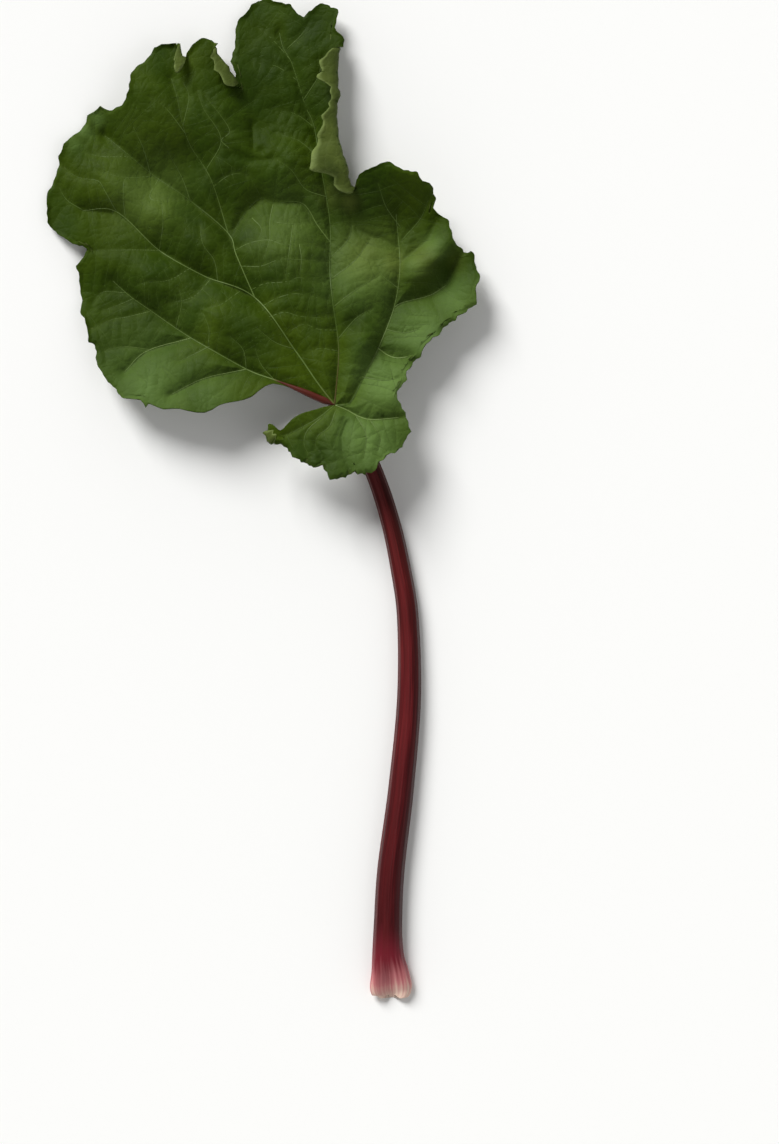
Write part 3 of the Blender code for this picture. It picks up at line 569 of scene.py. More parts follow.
def make_grid():
    """A smooth grid inside the blade's outline, on the drawing: rows from a ring round the hub
    out to the margin, and two columns for each margin point.

    It starts as straight rays.  Then every inner place moves, pass after pass, to the mean of
    its neighbours weighted by the grid's own stretch (Winslow's equations), which keeps the
    cells from folding over in the bays of the margin."""
    u = np.linspace(0, len(MARGIN) - 1, 2 * len(MARGIN) - 1)
    turn = np.radians(np.interp(u, *np.array(HUB_TURNS, float).T))
    for _ in range(TURN_SMOOTHINGS):
        turn[1:-1] = (turn[:-2] + 2 * turn[1:-1] + turn[2:]) / 4
    ring = np.array(HUB, float) + HUB_RING * np.stack([np.cos(turn), -np.sin(turn)], axis=1)
    margin = smooth_curve(MARGIN, u)
    shares = np.linspace(0, 1, GRID_ROWS)
    left, right = (smooth_curve(edge, point_numbers(edge, start + (1 - start) * shares))
                   for edge, start in zip((SINUS_LEFT, SINUS_RIGHT), SINUS_STARTS))
    ring[0], ring[-1] = left[0], right[0]
    grid = ring[None] + shares[:, None, None] * (margin - ring)[None]
    way = np.linspace(0, 1, len(u))[None, :, None]
    grid = (grid + np.exp(-SINUS_FADES[0] * way) * (left[:, None] - grid[:, :1])
            + np.exp(-SINUS_FADES[1] * (1 - way)) * (right[:, None] - grid[:, -1:]))
    grid[:, 0], grid[:, -1] = left, right
    grid[0], grid[-1] = ring, margin
    for _ in range(GRID_PASSES):
        east, west, outer, inner = (grid[1:-1, 2:], grid[1:-1, :-2],
                                    grid[2:, 1:-1], grid[:-2, 1:-1])
        across, outward = (east - west) / 2, (outer - inner) / 2
        pull_across = (outward**2).sum(-1, keepdims=True)
        pull_out = (across**2).sum(-1, keepdims=True)
        shear = (across * outward).sum(-1, keepdims=True)
        corners = grid[2:, 2:] - grid[2:, :-2] - grid[:-2, 2:] + grid[:-2, :-2]
        mean = ((pull_across * (east + west) + pull_out * (outer + inner) - shear / 2 * corners)
                / (2 * (pull_across + pull_out) + 1e-9))
        grid[1:-1, 1:-1] += GRID_PACE * (mean - grid[1:-1, 1:-1])
    return grid


GRID = make_grid()

# A raster of the drawing, two cells to a unit, for growing the net of fine veins
CELLS = 2
RASTER = (1000, 980)
rng = np.random.default_rng(11)


def inside_raster():
    """True in the cells inside the blade's outline, by counting the outline's crossings to
    the right of each cell."""
    outline = np.vstack([GRID[-1], GRID[::-1, -1], np.array([HUB]), GRID[:, 0]]) * CELLS
    ys, xs = np.mgrid[0:RASTER[1], 0:RASTER[0]]
    inside = np.zeros(RASTER[::-1], bool)
    for (x0, y0), (x1, y1) in zip(outline, np.roll(outline, -1, axis=0)):
        if y0 == y1:
            continue
        crosses = (y0 > ys) != (y1 > ys)
        inside ^= crosses & (xs < x0 + (ys - y0) * (x1 - x0) / (y1 - y0))
    return inside


def mark(taken, route):
    """Marks a route's cells in the raster as taken."""
    numbers = np.linspace(0, len(route) - 1, 8 * len(route))
    cells = (smooth_curve(route, numbers) * CELLS).astype(int)
    taken[cells[:, 1], cells[:, 0]] = True


def grow(taken, inside, start, direction):
    """A fine vein that grows from a start in steps, wandering a little, until it meets another
    vein or the margin, or has its longest length."""
    place = np.array(start, float) + direction * 2.0
    route = [np.array(start, float), place.copy()]
    for _ in range(int(RUNG_LENGTH / RUNG_STEP)):
        direction = unit(direction + rng.normal(0, RUNG_WANDER, 2))
        for part in (1, 2, 3, 4):
            ahead = place + direction * RUNG_STEP * part / 4
            x, y = (ahead * CELLS).astype(int)
            if not inside[y, x]:
                return route
            near = taken[y - 1:y + 2, x - 1:x + 2]
            if near.any() and np.linalg.norm(ahead - route[0]) > 4:
                route.append(ahead + direction * 0.5)
                return route
        place = place + direction * RUNG_STEP
        route.append(place.copy())
    return route


def grow_ladder(routes, taken, inside):
    """Fine veins to both sides of each route, evenly spaced and at an angle to it."""
    grown = []
    for route in routes:
        count = int(steps_along(route).sum() / RUNG_SPACING)
        for k in range(1, count + 1):
            share = min((k + rng.uniform(-0.2, 0.2)) / (count + 0.5), 0.97)
            number = point_numbers(route, np.array([share, min(share + 0.02, 1.0)]))
            here, there = smooth_curve(route, number)
            ahead = unit(there - here)
            for side in (-1, 1):
                turn = side * math.radians(RUNG_ANGLE + rng.uniform(-8, 8))
                cos, sin = math.cos(turn), math.sin(turn)
                direction = np.array([ahead[0] * cos - ahead[1] * sin,
                                      ahead[0] * sin + ahead[1] * cos])
                vein = grow(taken, inside, here, direction)
                if len(vein) > 3:
                    grown.append(np.array(vein))
                    mark(taken, grown[-1])
    return grown


def lines_distance(places, routes, reach):
    """Distance in metres from places to the nearest of many routes, and no more than reach."""
    flat = places.reshape(-1, 2)
    best = np.full(len(flat), reach)
    edge = reach / UNIT
    for route in routes:
        low, high = route.min(axis=0) - edge, route.max(axis=0) + edge
        near = np.flatnonzero(((flat > low) & (flat < high)).all(axis=1))
        if len(near):
            best[near] = np.minimum(best[near], vein_distance(flat[near], route)[0])
    return best.reshape(places.shape[:-1])


def margin_roll(u):
    """For each margin point: how far the edge turns, in radians, its band's width, and 1 where
    the edge rolls right over.

    The edge waves up and down all round.  In the rolled stretches it turns right over, so that
    its pale underside shows, as wide as the stretch's own widths say."""
    wave = sum(strength * np.sin(pace * u + start) for strength, pace, start in EDGE_WAVES)
    wide = np.zeros(len(u))
    for stretch in ROLLS:
        numbers, widths = np.array(stretch).T
        near = [np.interp(u + shift, numbers, widths, left=0, right=0) for shift in ROLL_SHIFTS]
        wide = np.maximum(wide, np.mean(near, axis=0))
    rolled = blend_step(wide, *ROLLED_FROM)
    over = ROLL_TURN + ROLL_TURN_WAVE * np.sin(ROLL_TURN_PACE * u)
    turn = wave * (1 - rolled) + rolled * over
    ruffle = wide + ROLL_RUFFLE * np.sin(ROLL_RUFFLE_PACE * u) * rolled
    width = MARGIN_BAND * (1 - rolled) + rolled * ruffle
    return turn, width, rolled


def clear_of_rolls(routes):
    """The routes without their places near a rolled margin, where the sheet is drawn in."""
    numbers = np.linspace(0, len(MARGIN) - 1, 12 * len(MARGIN))
    rolled = smooth_curve(MARGIN, numbers)[margin_roll(numbers)[2] > 0.5]
    kept = []
    for route in routes:
        fine = smooth_curve(route, np.linspace(0, len(route) - 1, 4 * len(route)))
        gap = np.linalg.norm(fine[:, None] - rolled[None], axis=2).min(axis=1)
        if (gap > ROLL_CLEAR).sum() > 6:
            kept.append(fine[gap > ROLL_CLEAR])
    return kept


def make_vein_net():
    """The side veins and the ladder of cross veins between them."""
    inside = inside_raster()
    taken = np.zeros(RASTER[::-1], bool)
    mains = [np.array(route, float) for route, _, _ in VEINS]
    sides = [np.array(route, float) for route in SIDE_VEINS]
    for route in mains + sides:
        mark(taken, route)
    ladder = grow_ladder(mains + sides, taken, inside)
    return clear_of_rolls(sides), clear_of_rolls(ladder)


SIDES, LADDER = make_vein_net()


def swelling(gap, height, reach):
    """A swelling that rises from a crease as one minus an exponential of the distance to it,
    whose sharp zero is rounded off so that the crease has a small radius."""
    return height * (1 - np.exp(-np.sqrt(gap**2 + CREASE_ROUNDING**2) / reach))


def sheet_relief(places):
    """The blade's relief in metres: grooves along the main veins, and swellings between the
    main, side and cross veins."""
    groove = np.zeros(places.shape[:-1])
    nearest = np.full(places.shape[:-1], 1.0)
    for route, wide, fine in VEINS:
        gap, share = vein_distance(places, route)
        here = (wide + (fine - wide) * share) / WIDEST_VEIN
        strength = LEAST_GROOVE + (1 - LEAST_GROOVE) * here
        groove = np.maximum(groove, strength * np.exp(-(gap / GROOVE_REACH) ** 2))
        nearest = np.minimum(nearest, gap)
    for route in FOLDS:
        nearest = np.minimum(nearest, vein_distance(places, route)[0])
    side = np.minimum(lines_distance(places, SIDES, SIDE_LOOK), nearest)
    ladder = np.minimum(lines_distance(places, LADDER, LADDER_LOOK), side)
    return (swelling(nearest, QUILT_HEIGHT, QUILT_REACH) + swelling(side, SIDE_SWELL, SIDE_REACH)
            + swelling(ladder, LADDER_SWELL, LADDER_REACH) - VEIN_GROOVE * groove)


def sheet_height(places):
    """Height of the upper face in metres: the broad form and the relief on it."""
    return plate_height(places) * MM + sheet_relief(places)


def band_length(share, width, arc, rolled):
    """Distance from the margin along the band at a share of it: even along a plain edge, and
    where it rolls over the first half of the shares lies on the arc."""
    over = np.minimum(2 * share, 1) * arc + np.maximum(2 * share - 1, 0) * (width - arc)
    return (1 - rolled) * share * width + rolled * over


def even_rows():
    """Grid row numbers from the hub's ring to the margin, evenly apart on the blade."""
    typical = np.sqrt((steps_along(GRID)**2).mean(axis=1))
    ends = running(typical) / typical.sum()
    return np.interp(np.linspace(0, 1, BLADE_ROWS), ends, np.arange(GRID_ROWS))


def new_object(name, data):
    """An object of this data in the scene."""
    thing = bpy.data.objects.new(name, data)
    bpy.context.collection.objects.link(thing)
    return thing


def mesh_object(name, points, faces, material, looks):
    """A smooth-shaded mesh object from an array of points and an array of faces, with its
    looks, values at each point by name, for the material to read."""
    mesh = bpy.data.meshes.new(name)
    mesh.from_pydata(points.tolist(), [], faces.tolist())
    for label, values in looks.items():
        layer = mesh.attributes.new(label, "FLOAT", "POINT")
        layer.data.foreach_set("value", np.asarray(values, np.float32))
    mesh.materials.append(material)
    mesh.shade_smooth()
    piece = new_object(name, mesh)
    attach(piece, "root")
    return piece


def stitch(first, second):
    """Triangles between two rows of vertex numbers, where the second row has as many vertices
    as the first or twice as many spans."""
    if len(first) == len(second):
        a, b, c, d = first[:-1], first[1:], second[1:], second[:-1]
        return np.vstack([np.column_stack([a, b, c]), np.column_stack([a, c, d])])
    a, b = first[:-1], first[1:]
    start, half, end = second[:-1:2], second[1::2], second[2::2]
    return np.vstack([np.column_stack([a, half, start]), np.column_stack([a, b, half]),
                      np.column_stack([b, end, half])])


def sheet_faces(number, strides):
    """Triangles of a sheet from its grid of vertex numbers, of which each row uses only every
    so many columns, and the numbers used."""
    rows = [number[row, ::stride] for row, stride in enumerate(strides)]
    return np.vstack([stitch(inner, outer) for inner, outer in zip(rows[:-1], rows[1:])]), rows


def lowest_around(values, reaches):
    """The lowest value of a grid within so many rows and columns of each place."""
    for axis, reach in enumerate(reaches):
        places = np.arange(values.shape[axis])
        near = [values.take(np.clip(places + shift, 0, places[-1]), axis)
                for shift in range(-reach, reach + 1)]
        values = np.min(near, axis=0)
    return values


def margin_columns():
    """The margin point number of each column, evenly apart along the margin."""
    fine = np.linspace(0, len(MARGIN) - 1, 20 * len(MARGIN))
    steps = steps_along(smooth_curve(MARGIN, fine))
    travelled = running(steps + 0.25 * steps.mean())
    return np.interp(np.linspace(0, travelled[-1], BLADE_COLUMNS), travelled, fine)


def make_blade(material):
    """The blade as one closed shell.  Its upper face is a grid over margin point number and
    row: the hub, rows of the flat grid lifted to the sheet's height, and in the band beyond
    the margin an arc that turns out of the sheet and then runs on straight.  The underside has
    every second row and column of it, moved in along the normals and held below the relief's
    lowest point near each place, and a strip closes the edge."""
    spans = len(MARGIN) - 1
    u = margin_columns()
    turn, width, rolled = margin_roll(u)
    ahead, back = (to_metres(smooth_curve(MARGIN, np.clip(u + shift, 0, spans)))
                   for shift in (MARGIN_SHIFT, -MARGIN_SHIFT))
    out = unit(np.stack([-(ahead - back)[:, 1], (ahead - back)[:, 0]], axis=1))
    for _ in range(OUT_SMOOTHINGS):
        out[1:-1] = (out[:-2] + 2 * out[1:-1] + out[2:]) / 4
    out = unit(out)
    arc = np.minimum(width, ROLL_RADIUS * np.abs(turn))
    furthest = ROLL_RADIUS * np.sin(np.minimum(arc / ROLL_RADIUS, math.pi / 2))
    quick, slow, fine = (np.sin(pace * u + start) for pace, start in zip(TEETH_PACES, (0, 0, 1)))
    teeth = TEETH[0] * quick * slow + TEETH[1] * fine
    teeth *= 1 + FLAP_TEETH * blend_step(u, *FLAP_FROM)

    rows = even_rows()
    flat = np.empty((len(rows), len(u), 2))
    for k, row in enumerate(rows):
        below = min(int(row), GRID_ROWS - 2)
        line = GRID[below] + (row - below) * (GRID[below + 1] - GRID[below])
        flat[k] = smooth_curve(line, 2 * u)
    shares = np.arange(1, HUB_ROWS) / HUB_ROWS
    hub = np.array(HUB, float)
    near_hub = hub + shares[:, None, None] * (flat[0] - hub)[None]
    ground = to_metres(np.concatenate([near_hub, flat]))
    from_edge = np.vstack([np.cumsum(steps_along(ground)[::-1], axis=0)[::-1],
                           np.zeros(len(u))])
    edge_share = 1 - blend_step(from_edge, 0.0, EDGE_REACH)
    ground -= out[None] * (furthest[None] * edge_share)[..., None]
    ground += out[None] * (teeth[None] * edge_share**3)[..., None]
    drawn = to_drawing(ground)
    broad = plate_height(drawn) * MM
    relief = sheet_relief(drawn)

    band = np.linspace(0, 1, BAND_ROWS + 1)[1:, None]
    length = band_length(band, width, arc, rolled)
    curved = np.minimum(length, arc)
    angle = curved / ROLL_RADIUS
    straight = length - curved
    pleat = sum(height * np.sin(pace * u + start) for height, pace, start in PLEATS)
    ahead_by = ROLL_RADIUS * np.sin(angle) + straight * np.cos(angle)
    up_by = (ROLL_RADIUS * (1 - np.cos(angle)) + straight * np.sin(angle)) * np.sign(turn)
    up_by = up_by + rolled * pleat * blend_step(straight, 0.0, PLEAT_REACH)
    band_ground = ground[-1] + out * ahead_by[..., None]
    band_height = broad[-1] + relief[-1] + up_by
    inner = np.concatenate([ground, (broad + relief)[..., None]], axis=2)
    outer = np.concatenate([band_ground, band_height[..., None]], axis=2)
    upper = np.concatenate([inner, outer])

    slope_out = np.gradient(upper, axis=0)
    slope_round = np.gradient(upper, axis=1)
    normal = np.cross(slope_round, slope_out)
    normal /= np.linalg.norm(normal, axis=2)[..., None] + 1e-12
    normal *= np.sign(normal[len(rows) // 2, :, 2].mean())
    under = upper - normal * BLADE_THICKNESS
    deep = len(ground) - EDGE_ROWS
    under[:deep, :, 2] = (broad + lowest_around(relief, RELIEF_AROUND))[:deep] - BLADE_THICKNESS
    under[:deep, :, :2] = upper[:deep, :, :2]
    under[..., 2] = np.maximum(under[..., 2], 0)
    upper[..., 2] = np.maximum(upper[..., 2], BLADE_THICKNESS)

    row_share = np.concatenate([np.zeros(len(shares)), rows / rows[-1], np.ones(BAND_ROWS)])
    strides = np.where(row_share < MIDDLE_FROM, 4, np.where(row_share < FINE_FROM, 2, 1))
    top_number = np.arange(upper[..., 0].size).reshape(upper.shape[:2])
    top_faces, top_rows = sheet_faces(top_number, strides)
    low_number = top_number + top_number.size
    low_faces, low_rows = sheet_faces(low_number[::2], 2 * strides[::2])
    tops = [top_number.size * 2, top_number.size * 2 + 1]
    fans = []
    for point, row in zip(tops, (top_rows[0], low_rows[0])):
        fans.append(np.column_stack([np.full(len(row) - 1, point), row[1:], row[:-1]]))
    edge = np.concatenate([top_number[:, 0], top_number[-1, 1:], top_number[:-1, -1][::-1]])
    low_edge = np.concatenate([low_number[::2, 0], low_number[-1, 2::2],
                               low_number[:-1:2, -1][::-1]])
    rim = stitch(low_edge, edge)
    hub_rim = np.array([[tops[0], edge[0], low_edge[0]], [tops[0], low_edge[0], tops[1]],
                        [tops[0], tops[1], low_edge[-1]], [tops[0], low_edge[-1], edge[-1]]])
    faces = np.vstack([fans[0], top_faces, fans[1][:, ::-1], low_faces[:, ::-1],
                       rim[:, ::-1], hub_rim])
    hub_top = np.append(to_metres(hub), sheet_height(hub[None])[0])
    points = np.vstack([upper.reshape(-1, 3), under.reshape(-1, 3), hub_top,
                        hub_top - np.array([0, 0, 2 * BLADE_THICKNESS])])

    def everywhere(values, at_hub=0.0):
        """A look given on the sheet for every vertex: the band has the margin's value."""
        values = np.concatenate([values, np.repeat(values[-1:], BAND_ROWS, axis=0)]).ravel()
        return np.concatenate([values, values, [at_hub, at_hub]])

    main = np.min([vein_distance(drawn, route)[0] for route, _, _ in VEINS], axis=0)
    side_gap = np.minimum(lines_distance(drawn, SIDES, SIDE_LOOK), main)
    ladder_gap = lines_distance(drawn, LADDER, LADDER_LOOK)
    beside = (np.exp(-(side_gap / BESIDE_SIDES) ** 2)
              + 0.5 * np.exp(-(ladder_gap / BESIDE_LADDER) ** 2))
    rim_tint = np.zeros(upper.shape[:2])
    rim_tint[-BAND_ROWS:] = rolled * np.exp(-(width - length) / RIM_REACH)
    looks = {
        "underside": np.append(np.repeat([0.0, 1.0], top_number.size), [0.0, 1.0]),
        "beside_vein": everywhere(beside, 1.0),
        "rim": np.concatenate([rim_tint.ravel(), rim_tint.ravel(), [0.0, 0.0]]),
    }
    # The pale spots are painted sheen, the yellower ones are partly painted light, and the dark
    # ones are painted shade
    for label, spots in (("painted_sheen", PAINTED_SHEEN_SPOTS), ("warm_and_painted_light", WARM_AND_PAINTED_LIGHT_SPOTS), ("shade", PAINTED_SHADE_SPOTS)):
        tint = np.zeros(drawn.shape[:2])
        for place, across, strength in spots:
            gap = np.linalg.norm(drawn - place, axis=-1) / across
            tint = np.maximum(tint, strength * np.exp(-gap**2))
        looks[label] = everywhere(tint)
    used = np.unique(faces)
    renumber = np.zeros(len(points), int)
    renumber[used] = np.arange(len(used))
    return mesh_object("leaf_lamina", points[used], renumber[faces], material,
                       {label: values[used] for label, values in looks.items()})


def ring_faces(rings, sides, backwards=False):
    """Triangles of a closed skin over rings of points, followed by a point at either end.
    They are turned round for rings that run backwards."""
    k = np.arange(sides)
    a, b = (k + 1) % sides, k
    if not backwards:
        a, b = b, a
    before = sides * np.arange(rings - 1)[:, None]
    low_a, low_b = (before + a).ravel(), (before + b).ravel()
    last, end = (rings - 1) * sides, rings * sides
    return np.vstack([np.column_stack([low_a, low_b, low_a + sides]),
                      np.column_stack([low_b, low_b + sides, low_a + sides]),
                      np.column_stack([np.full(sides, end), b, a]),
                      np.column_stack([np.full(sides, end + 1), last + a, last + b])])


def tube(path, radius, sides):
    """A tube along a path: rings of a flattened circle across the path, closed at both ends
    by a point.  Returns points and triangles."""
    ahead = unit(np.gradient(path, axis=0))
    across = unit(np.cross(ahead, [0, 0, 1.0]))
    up = np.cross(across, ahead)
    angle = np.linspace(0, 2 * math.pi, sides, endpoint=False)
    rings = (path[:, None] + radius[:, None, None] * (
        across[:, None] * np.cos(angle)[None, :, None]
        + VEIN_SQUASH * up[:, None] * np.sin(angle)[None, :, None]))
    points = np.vstack([rings.reshape(-1, 3), path[0], path[-1]])
    return points, ring_faces(len(path), sides, backwards=True)


def join(parts):
    """Several sets of points and triangles as one."""
    shifts = np.cumsum([0] + [len(points) for points, _ in parts[:-1]])
    return (np.vstack([points for points, _ in parts]),
            np.vstack([faces + shift for (_, faces), shift in zip(parts, shifts)]))


def paths_on_sheet(routes, spacing):
    """Routes on the drawing as smooth paths on the blade's upper face, each with the share of
    its length at each point."""
    places, shares = [], []
    for route in routes:
        rings = int(steps_along(route).sum() * UNIT / spacing)
        share = np.linspace(0, 1, max(4, rings))
        places.append(smooth_curve(route, point_numbers(route, share)))
        shares.append(share)
    together = np.vstack(places)
    height = np.maximum(sheet_height(together), BLADE_THICKNESS)
    path = np.column_stack([to_metres(together), height])
    cuts = np.cumsum([len(share) for share in shares])[:-1]
    return list(zip(np.split(path, cuts), shares))


def make_veins(material):
    """The veins, each a thin half-sunk tube that tapers along its route on the upper face, and
    the main ones' thicker ribs below.  The lowest one is bare and thick from the hub to where
    the blade's tissue begins."""
    parts, blush, fine = [], [], []
    up = np.array([[0, 0, 1.0]])
    mains = paths_on_sheet([route for route, _, _ in VEINS], MAIN_RINGS)
    for number, (path, shares) in enumerate(mains):
        _, wide, narrow = VEINS[number]
        thick = wide + (narrow - wide) * shares**0.5
        from_hub = np.linalg.norm(path[:, :2] - to_metres(HUB), axis=1)
        radius = LINE_SHARE * thick
        if number == BARE_VEIN:
            bare = blend_step(from_hub, *BARE_FROM) - blend_step(from_hub, *BARE_TO)
            radius = radius + BARE_RADIUS * np.maximum(bare, 0)
        lift = (LINE_LIFTS[0] + LINE_LIFTS[1] * shares) * MM
        rib = path - (BLADE_THICKNESS + RIB_DEPTH_SHARE * thick)[:, None] * up
        rib[:, 2] = np.maximum(rib[:, 2], RIB_FLOOR_SHARE * thick)
        parts += [tube(path + lift[:, None] * up, radius, MAIN_SIDES),
                  tube(rib, RIB_SHARE * thick, MAIN_SIDES)]
        strength, fades, ends = BLUSHES.get(number, (0.0, 0.0, 0.01))
        own = strength * (1 - blend_step(from_hub, fades, ends))
        own = np.append(np.repeat(own, MAIN_SIDES), [own[0], own[-1]])
        blush += [own, np.minimum(own + 0.1, 1)]
        greens = GREENER.get(number, (0.0, 0.0))
        green = greens[0] + (greens[1] - greens[0]) * blend_step(shares, *GREENER_BETWEEN)
        fine += [np.append(np.repeat(green, MAIN_SIDES), greens)] * 2
    for routes, lines in ((SIDES, SIDE_LINES), (LADDER, LADDER_LINES)):
        lift, thick, loss, power, sides, greens = lines
        for path, shares in paths_on_sheet(routes, FINE_RINGS):
            radius = (thick - loss * shares**power) * MM
            parts.append(tube(path + lift * MM * up, radius, sides))
            blush.append(np.zeros(len(parts[-1][0])))
            green = greens[0] + (greens[1] - greens[0]) * shares
            fine.append(np.append(np.repeat(green, sides), greens))
    points, faces = join(parts)
    return mesh_object("leaf_veins", points, faces, material,
                       {"blush": np.concatenate(blush), "fineness": np.concatenate(fine)})


def make_stalk(material):
    """The stalk: rings of a rounded section along its route, as a function of share along it
    and angle round it.  The section has a shallow channel between two raised shoulders on its
    upper side and rounded ribs below, is flattened where it lies on the surface, and ends in a
    clasping hollow foot."""
    spots = to_metres([stop[0] for stop in STALK_ROUTE])
    sizes = np.array([stop[1:] for stop in STALK_ROUTE])
    shares = np.linspace(0, 1, STALK_RINGS) ** RINGS_CLOSER_AT_FOOT
    numbers = point_numbers(spots, shares)
    middle = smooth_curve(spots, numbers)
    width, height, lift = smooth_curve(sizes, numbers).T
    ahead = unit(np.gradient(middle, axis=0))
    side = np.stack([ahead[:, 1], -ahead[:, 0]], axis=1)
    angle = np.linspace(0, 2 * math.pi, STALK_SIDES, endpoint=False)
    across, up = np.sin(angle), np.cos(angle)
    below = 1 - blend_step(up, *RIBS_END)
    ribs = RIB_DEPTH * (np.cos(STALK_RIBS * angle) + 0.25 * np.cos(3 * STALK_RIBS * angle)) * below
    foot = 1 - blend_step(shares, 0.0, FOOT_END)
    channel = CHANNEL_DEPTH * (1 - blend_step(shares, *CHANNEL_END)) + FOOT_HOLLOW * foot
    above = blend_step(up, *UPPER_SIDE)
    dip = bump_at(across, CHANNEL) * above
    shoulder = SHOULDER_HEIGHT * ridge_at(np.abs(across), SHOULDER) * above
    seam = SEAM_HEIGHT * ridge_at(across, SEAM) * above
    x = width[:, None] / 2 * across + ribs * across
    z = (height[:, None] / 2 * (1 + up) + ribs * up + shoulder + seam * (1 - foot)[:, None]
         - channel[:, None] * dip + lift[:, None] - REST_FLAT)
    z = np.maximum(z, 0)
    ground = middle[:, None] + x[..., None] * side[:, None]
    room = sheet_height(to_drawing(ground)) - BLADE_THICKNESS - 0.3 * MM
    z = np.where((shares > COVERED_FROM)[:, None], np.minimum(z, room), z)
    rings = np.concatenate([ground, z[..., None]], axis=2)
    ends = np.vstack([rings[0].mean(axis=0), rings[-1].mean(axis=0)])
    ends[0, :2] += ahead[0] * FOOT_HOLLOW
    points = np.vstack([rings.reshape(-1, 3), ends])
    looks = {"along": np.append(np.repeat(shares, STALK_SIDES), [0, 1])}
    # The lighter band round the section is a painted highlight, and the darker side beyond it is
    # painted shade
    for label, values in (("round_it", angle / (2 * math.pi)),
                          ("painted_lit_band", bump_at(across, PAINTED_LIT_BAND) * above),
                          ("painted_shade_side", blend_step(across, *PAINTED_SHADE_SIDE))):
        looks[label] = np.append(np.tile(values, STALK_RINGS), [0, 0])
    faces = ring_faces(STALK_RINGS, STALK_SIDES)
    return mesh_object("stalk_skin", points, faces, material, looks)


def linear(colour):
    """An sRGB hex colour as linear RGBA."""
    parts = [int(colour[i:i + 2], 16) / 255 for i in (1, 3, 5)]
    return (*[p / 12.92 if p <= 0.04045 else ((p + 0.055) / 1.055) ** 2.4 for p in parts], 1)


def add(tree, kind, inputs=(), stops=(), **settings):
    """Adds a shader node with its settings.  Its inputs, by name or number, are values, hex
    colours or another node's outputs, and stops are a colour ramp's places and colours.
    Returns the node's outputs."""
    node = tree.nodes.new("ShaderNode" + kind)
    for name, value in settings.items():
        setattr(node, name, value)
    for place, value in dict(inputs).items():
        if isinstance(value, bpy.types.NodeSocket):
            tree.links.new(value, node.inputs[place])
        else:
            node.inputs[place].default_value = linear(value) if isinstance(value, str) else value
    for _ in stops[2:]:
        node.color_ramp.elements.new(0.5)
    for number, (position, colour) in enumerate(stops):
        node.color_ramp.elements[number].position = position
        node.color_ramp.elements[number].color = linear(colour)
    return node.outputs


def new_material(name, look):
    """A Principled material with these values on its sockets: it, its tree and its shader."""
    material = bpy.data.materials.new(name)
    material.use_nodes = True
    shader = material.node_tree.nodes["Principled BSDF"]
    for socket, value in look.items():
        shader.inputs[socket].default_value = linear(value) if isinstance(value, str) else value
    return material, material.node_tree, shader


def tinted(tree, colour, *layers):
    """A colour with layers of tint over it, one after the other.  A layer is where it lies, by
    an attribute's name or as an output, its strength and its tint."""
    for mask, strength, tint in layers:
        if isinstance(mask, str):
            mask = add(tree, "Attribute", attribute_name=mask)["Fac"]
        amount = add(tree, "Math", {0: mask, 1: strength}, operation="MULTIPLY")[0]
        colour = add(tree, "Mix", {0: amount, 6: colour, 7: tint}, data_type="RGBA")[2]
    return colour


def vein_net(tree, place, mesh, wander):
    """The net of fine veins as a height from 0 on its lines to 1 in its meshes, which are one
    size across, in metres: the distance to the nearest edge of a cell pattern whose places are
    shifted a little by noise."""
    drift = add(tree, "TexNoise", {"Vector": place, "Scale": 0.7 / mesh, "Detail": 1.0})
    drift = add(tree, "VectorMath", {0: drift["Color"], 1: (0.5, 0.5, 0.5)},
                operation="SUBTRACT")
    drift = add(tree, "VectorMath", {0: drift[0], "Scale": 4 * wander}, operation="SCALE")
    moved = add(tree, "VectorMath", {0: place, 1: drift[0]}, operation="ADD")
    gap = add(tree, "TexVoronoi", {"Vector": moved[0], "Scale": 1 / mesh},
              feature="DISTANCE_TO_EDGE", voronoi_dimensions="2D")
    gap = add(tree, "Math", {0: gap["Distance"], 1: 2.6}, operation="MULTIPLY", use_clamp=True)
    return add(tree, "Math", {0: gap[0], 1: 0.6}, operation="POWER")[0]


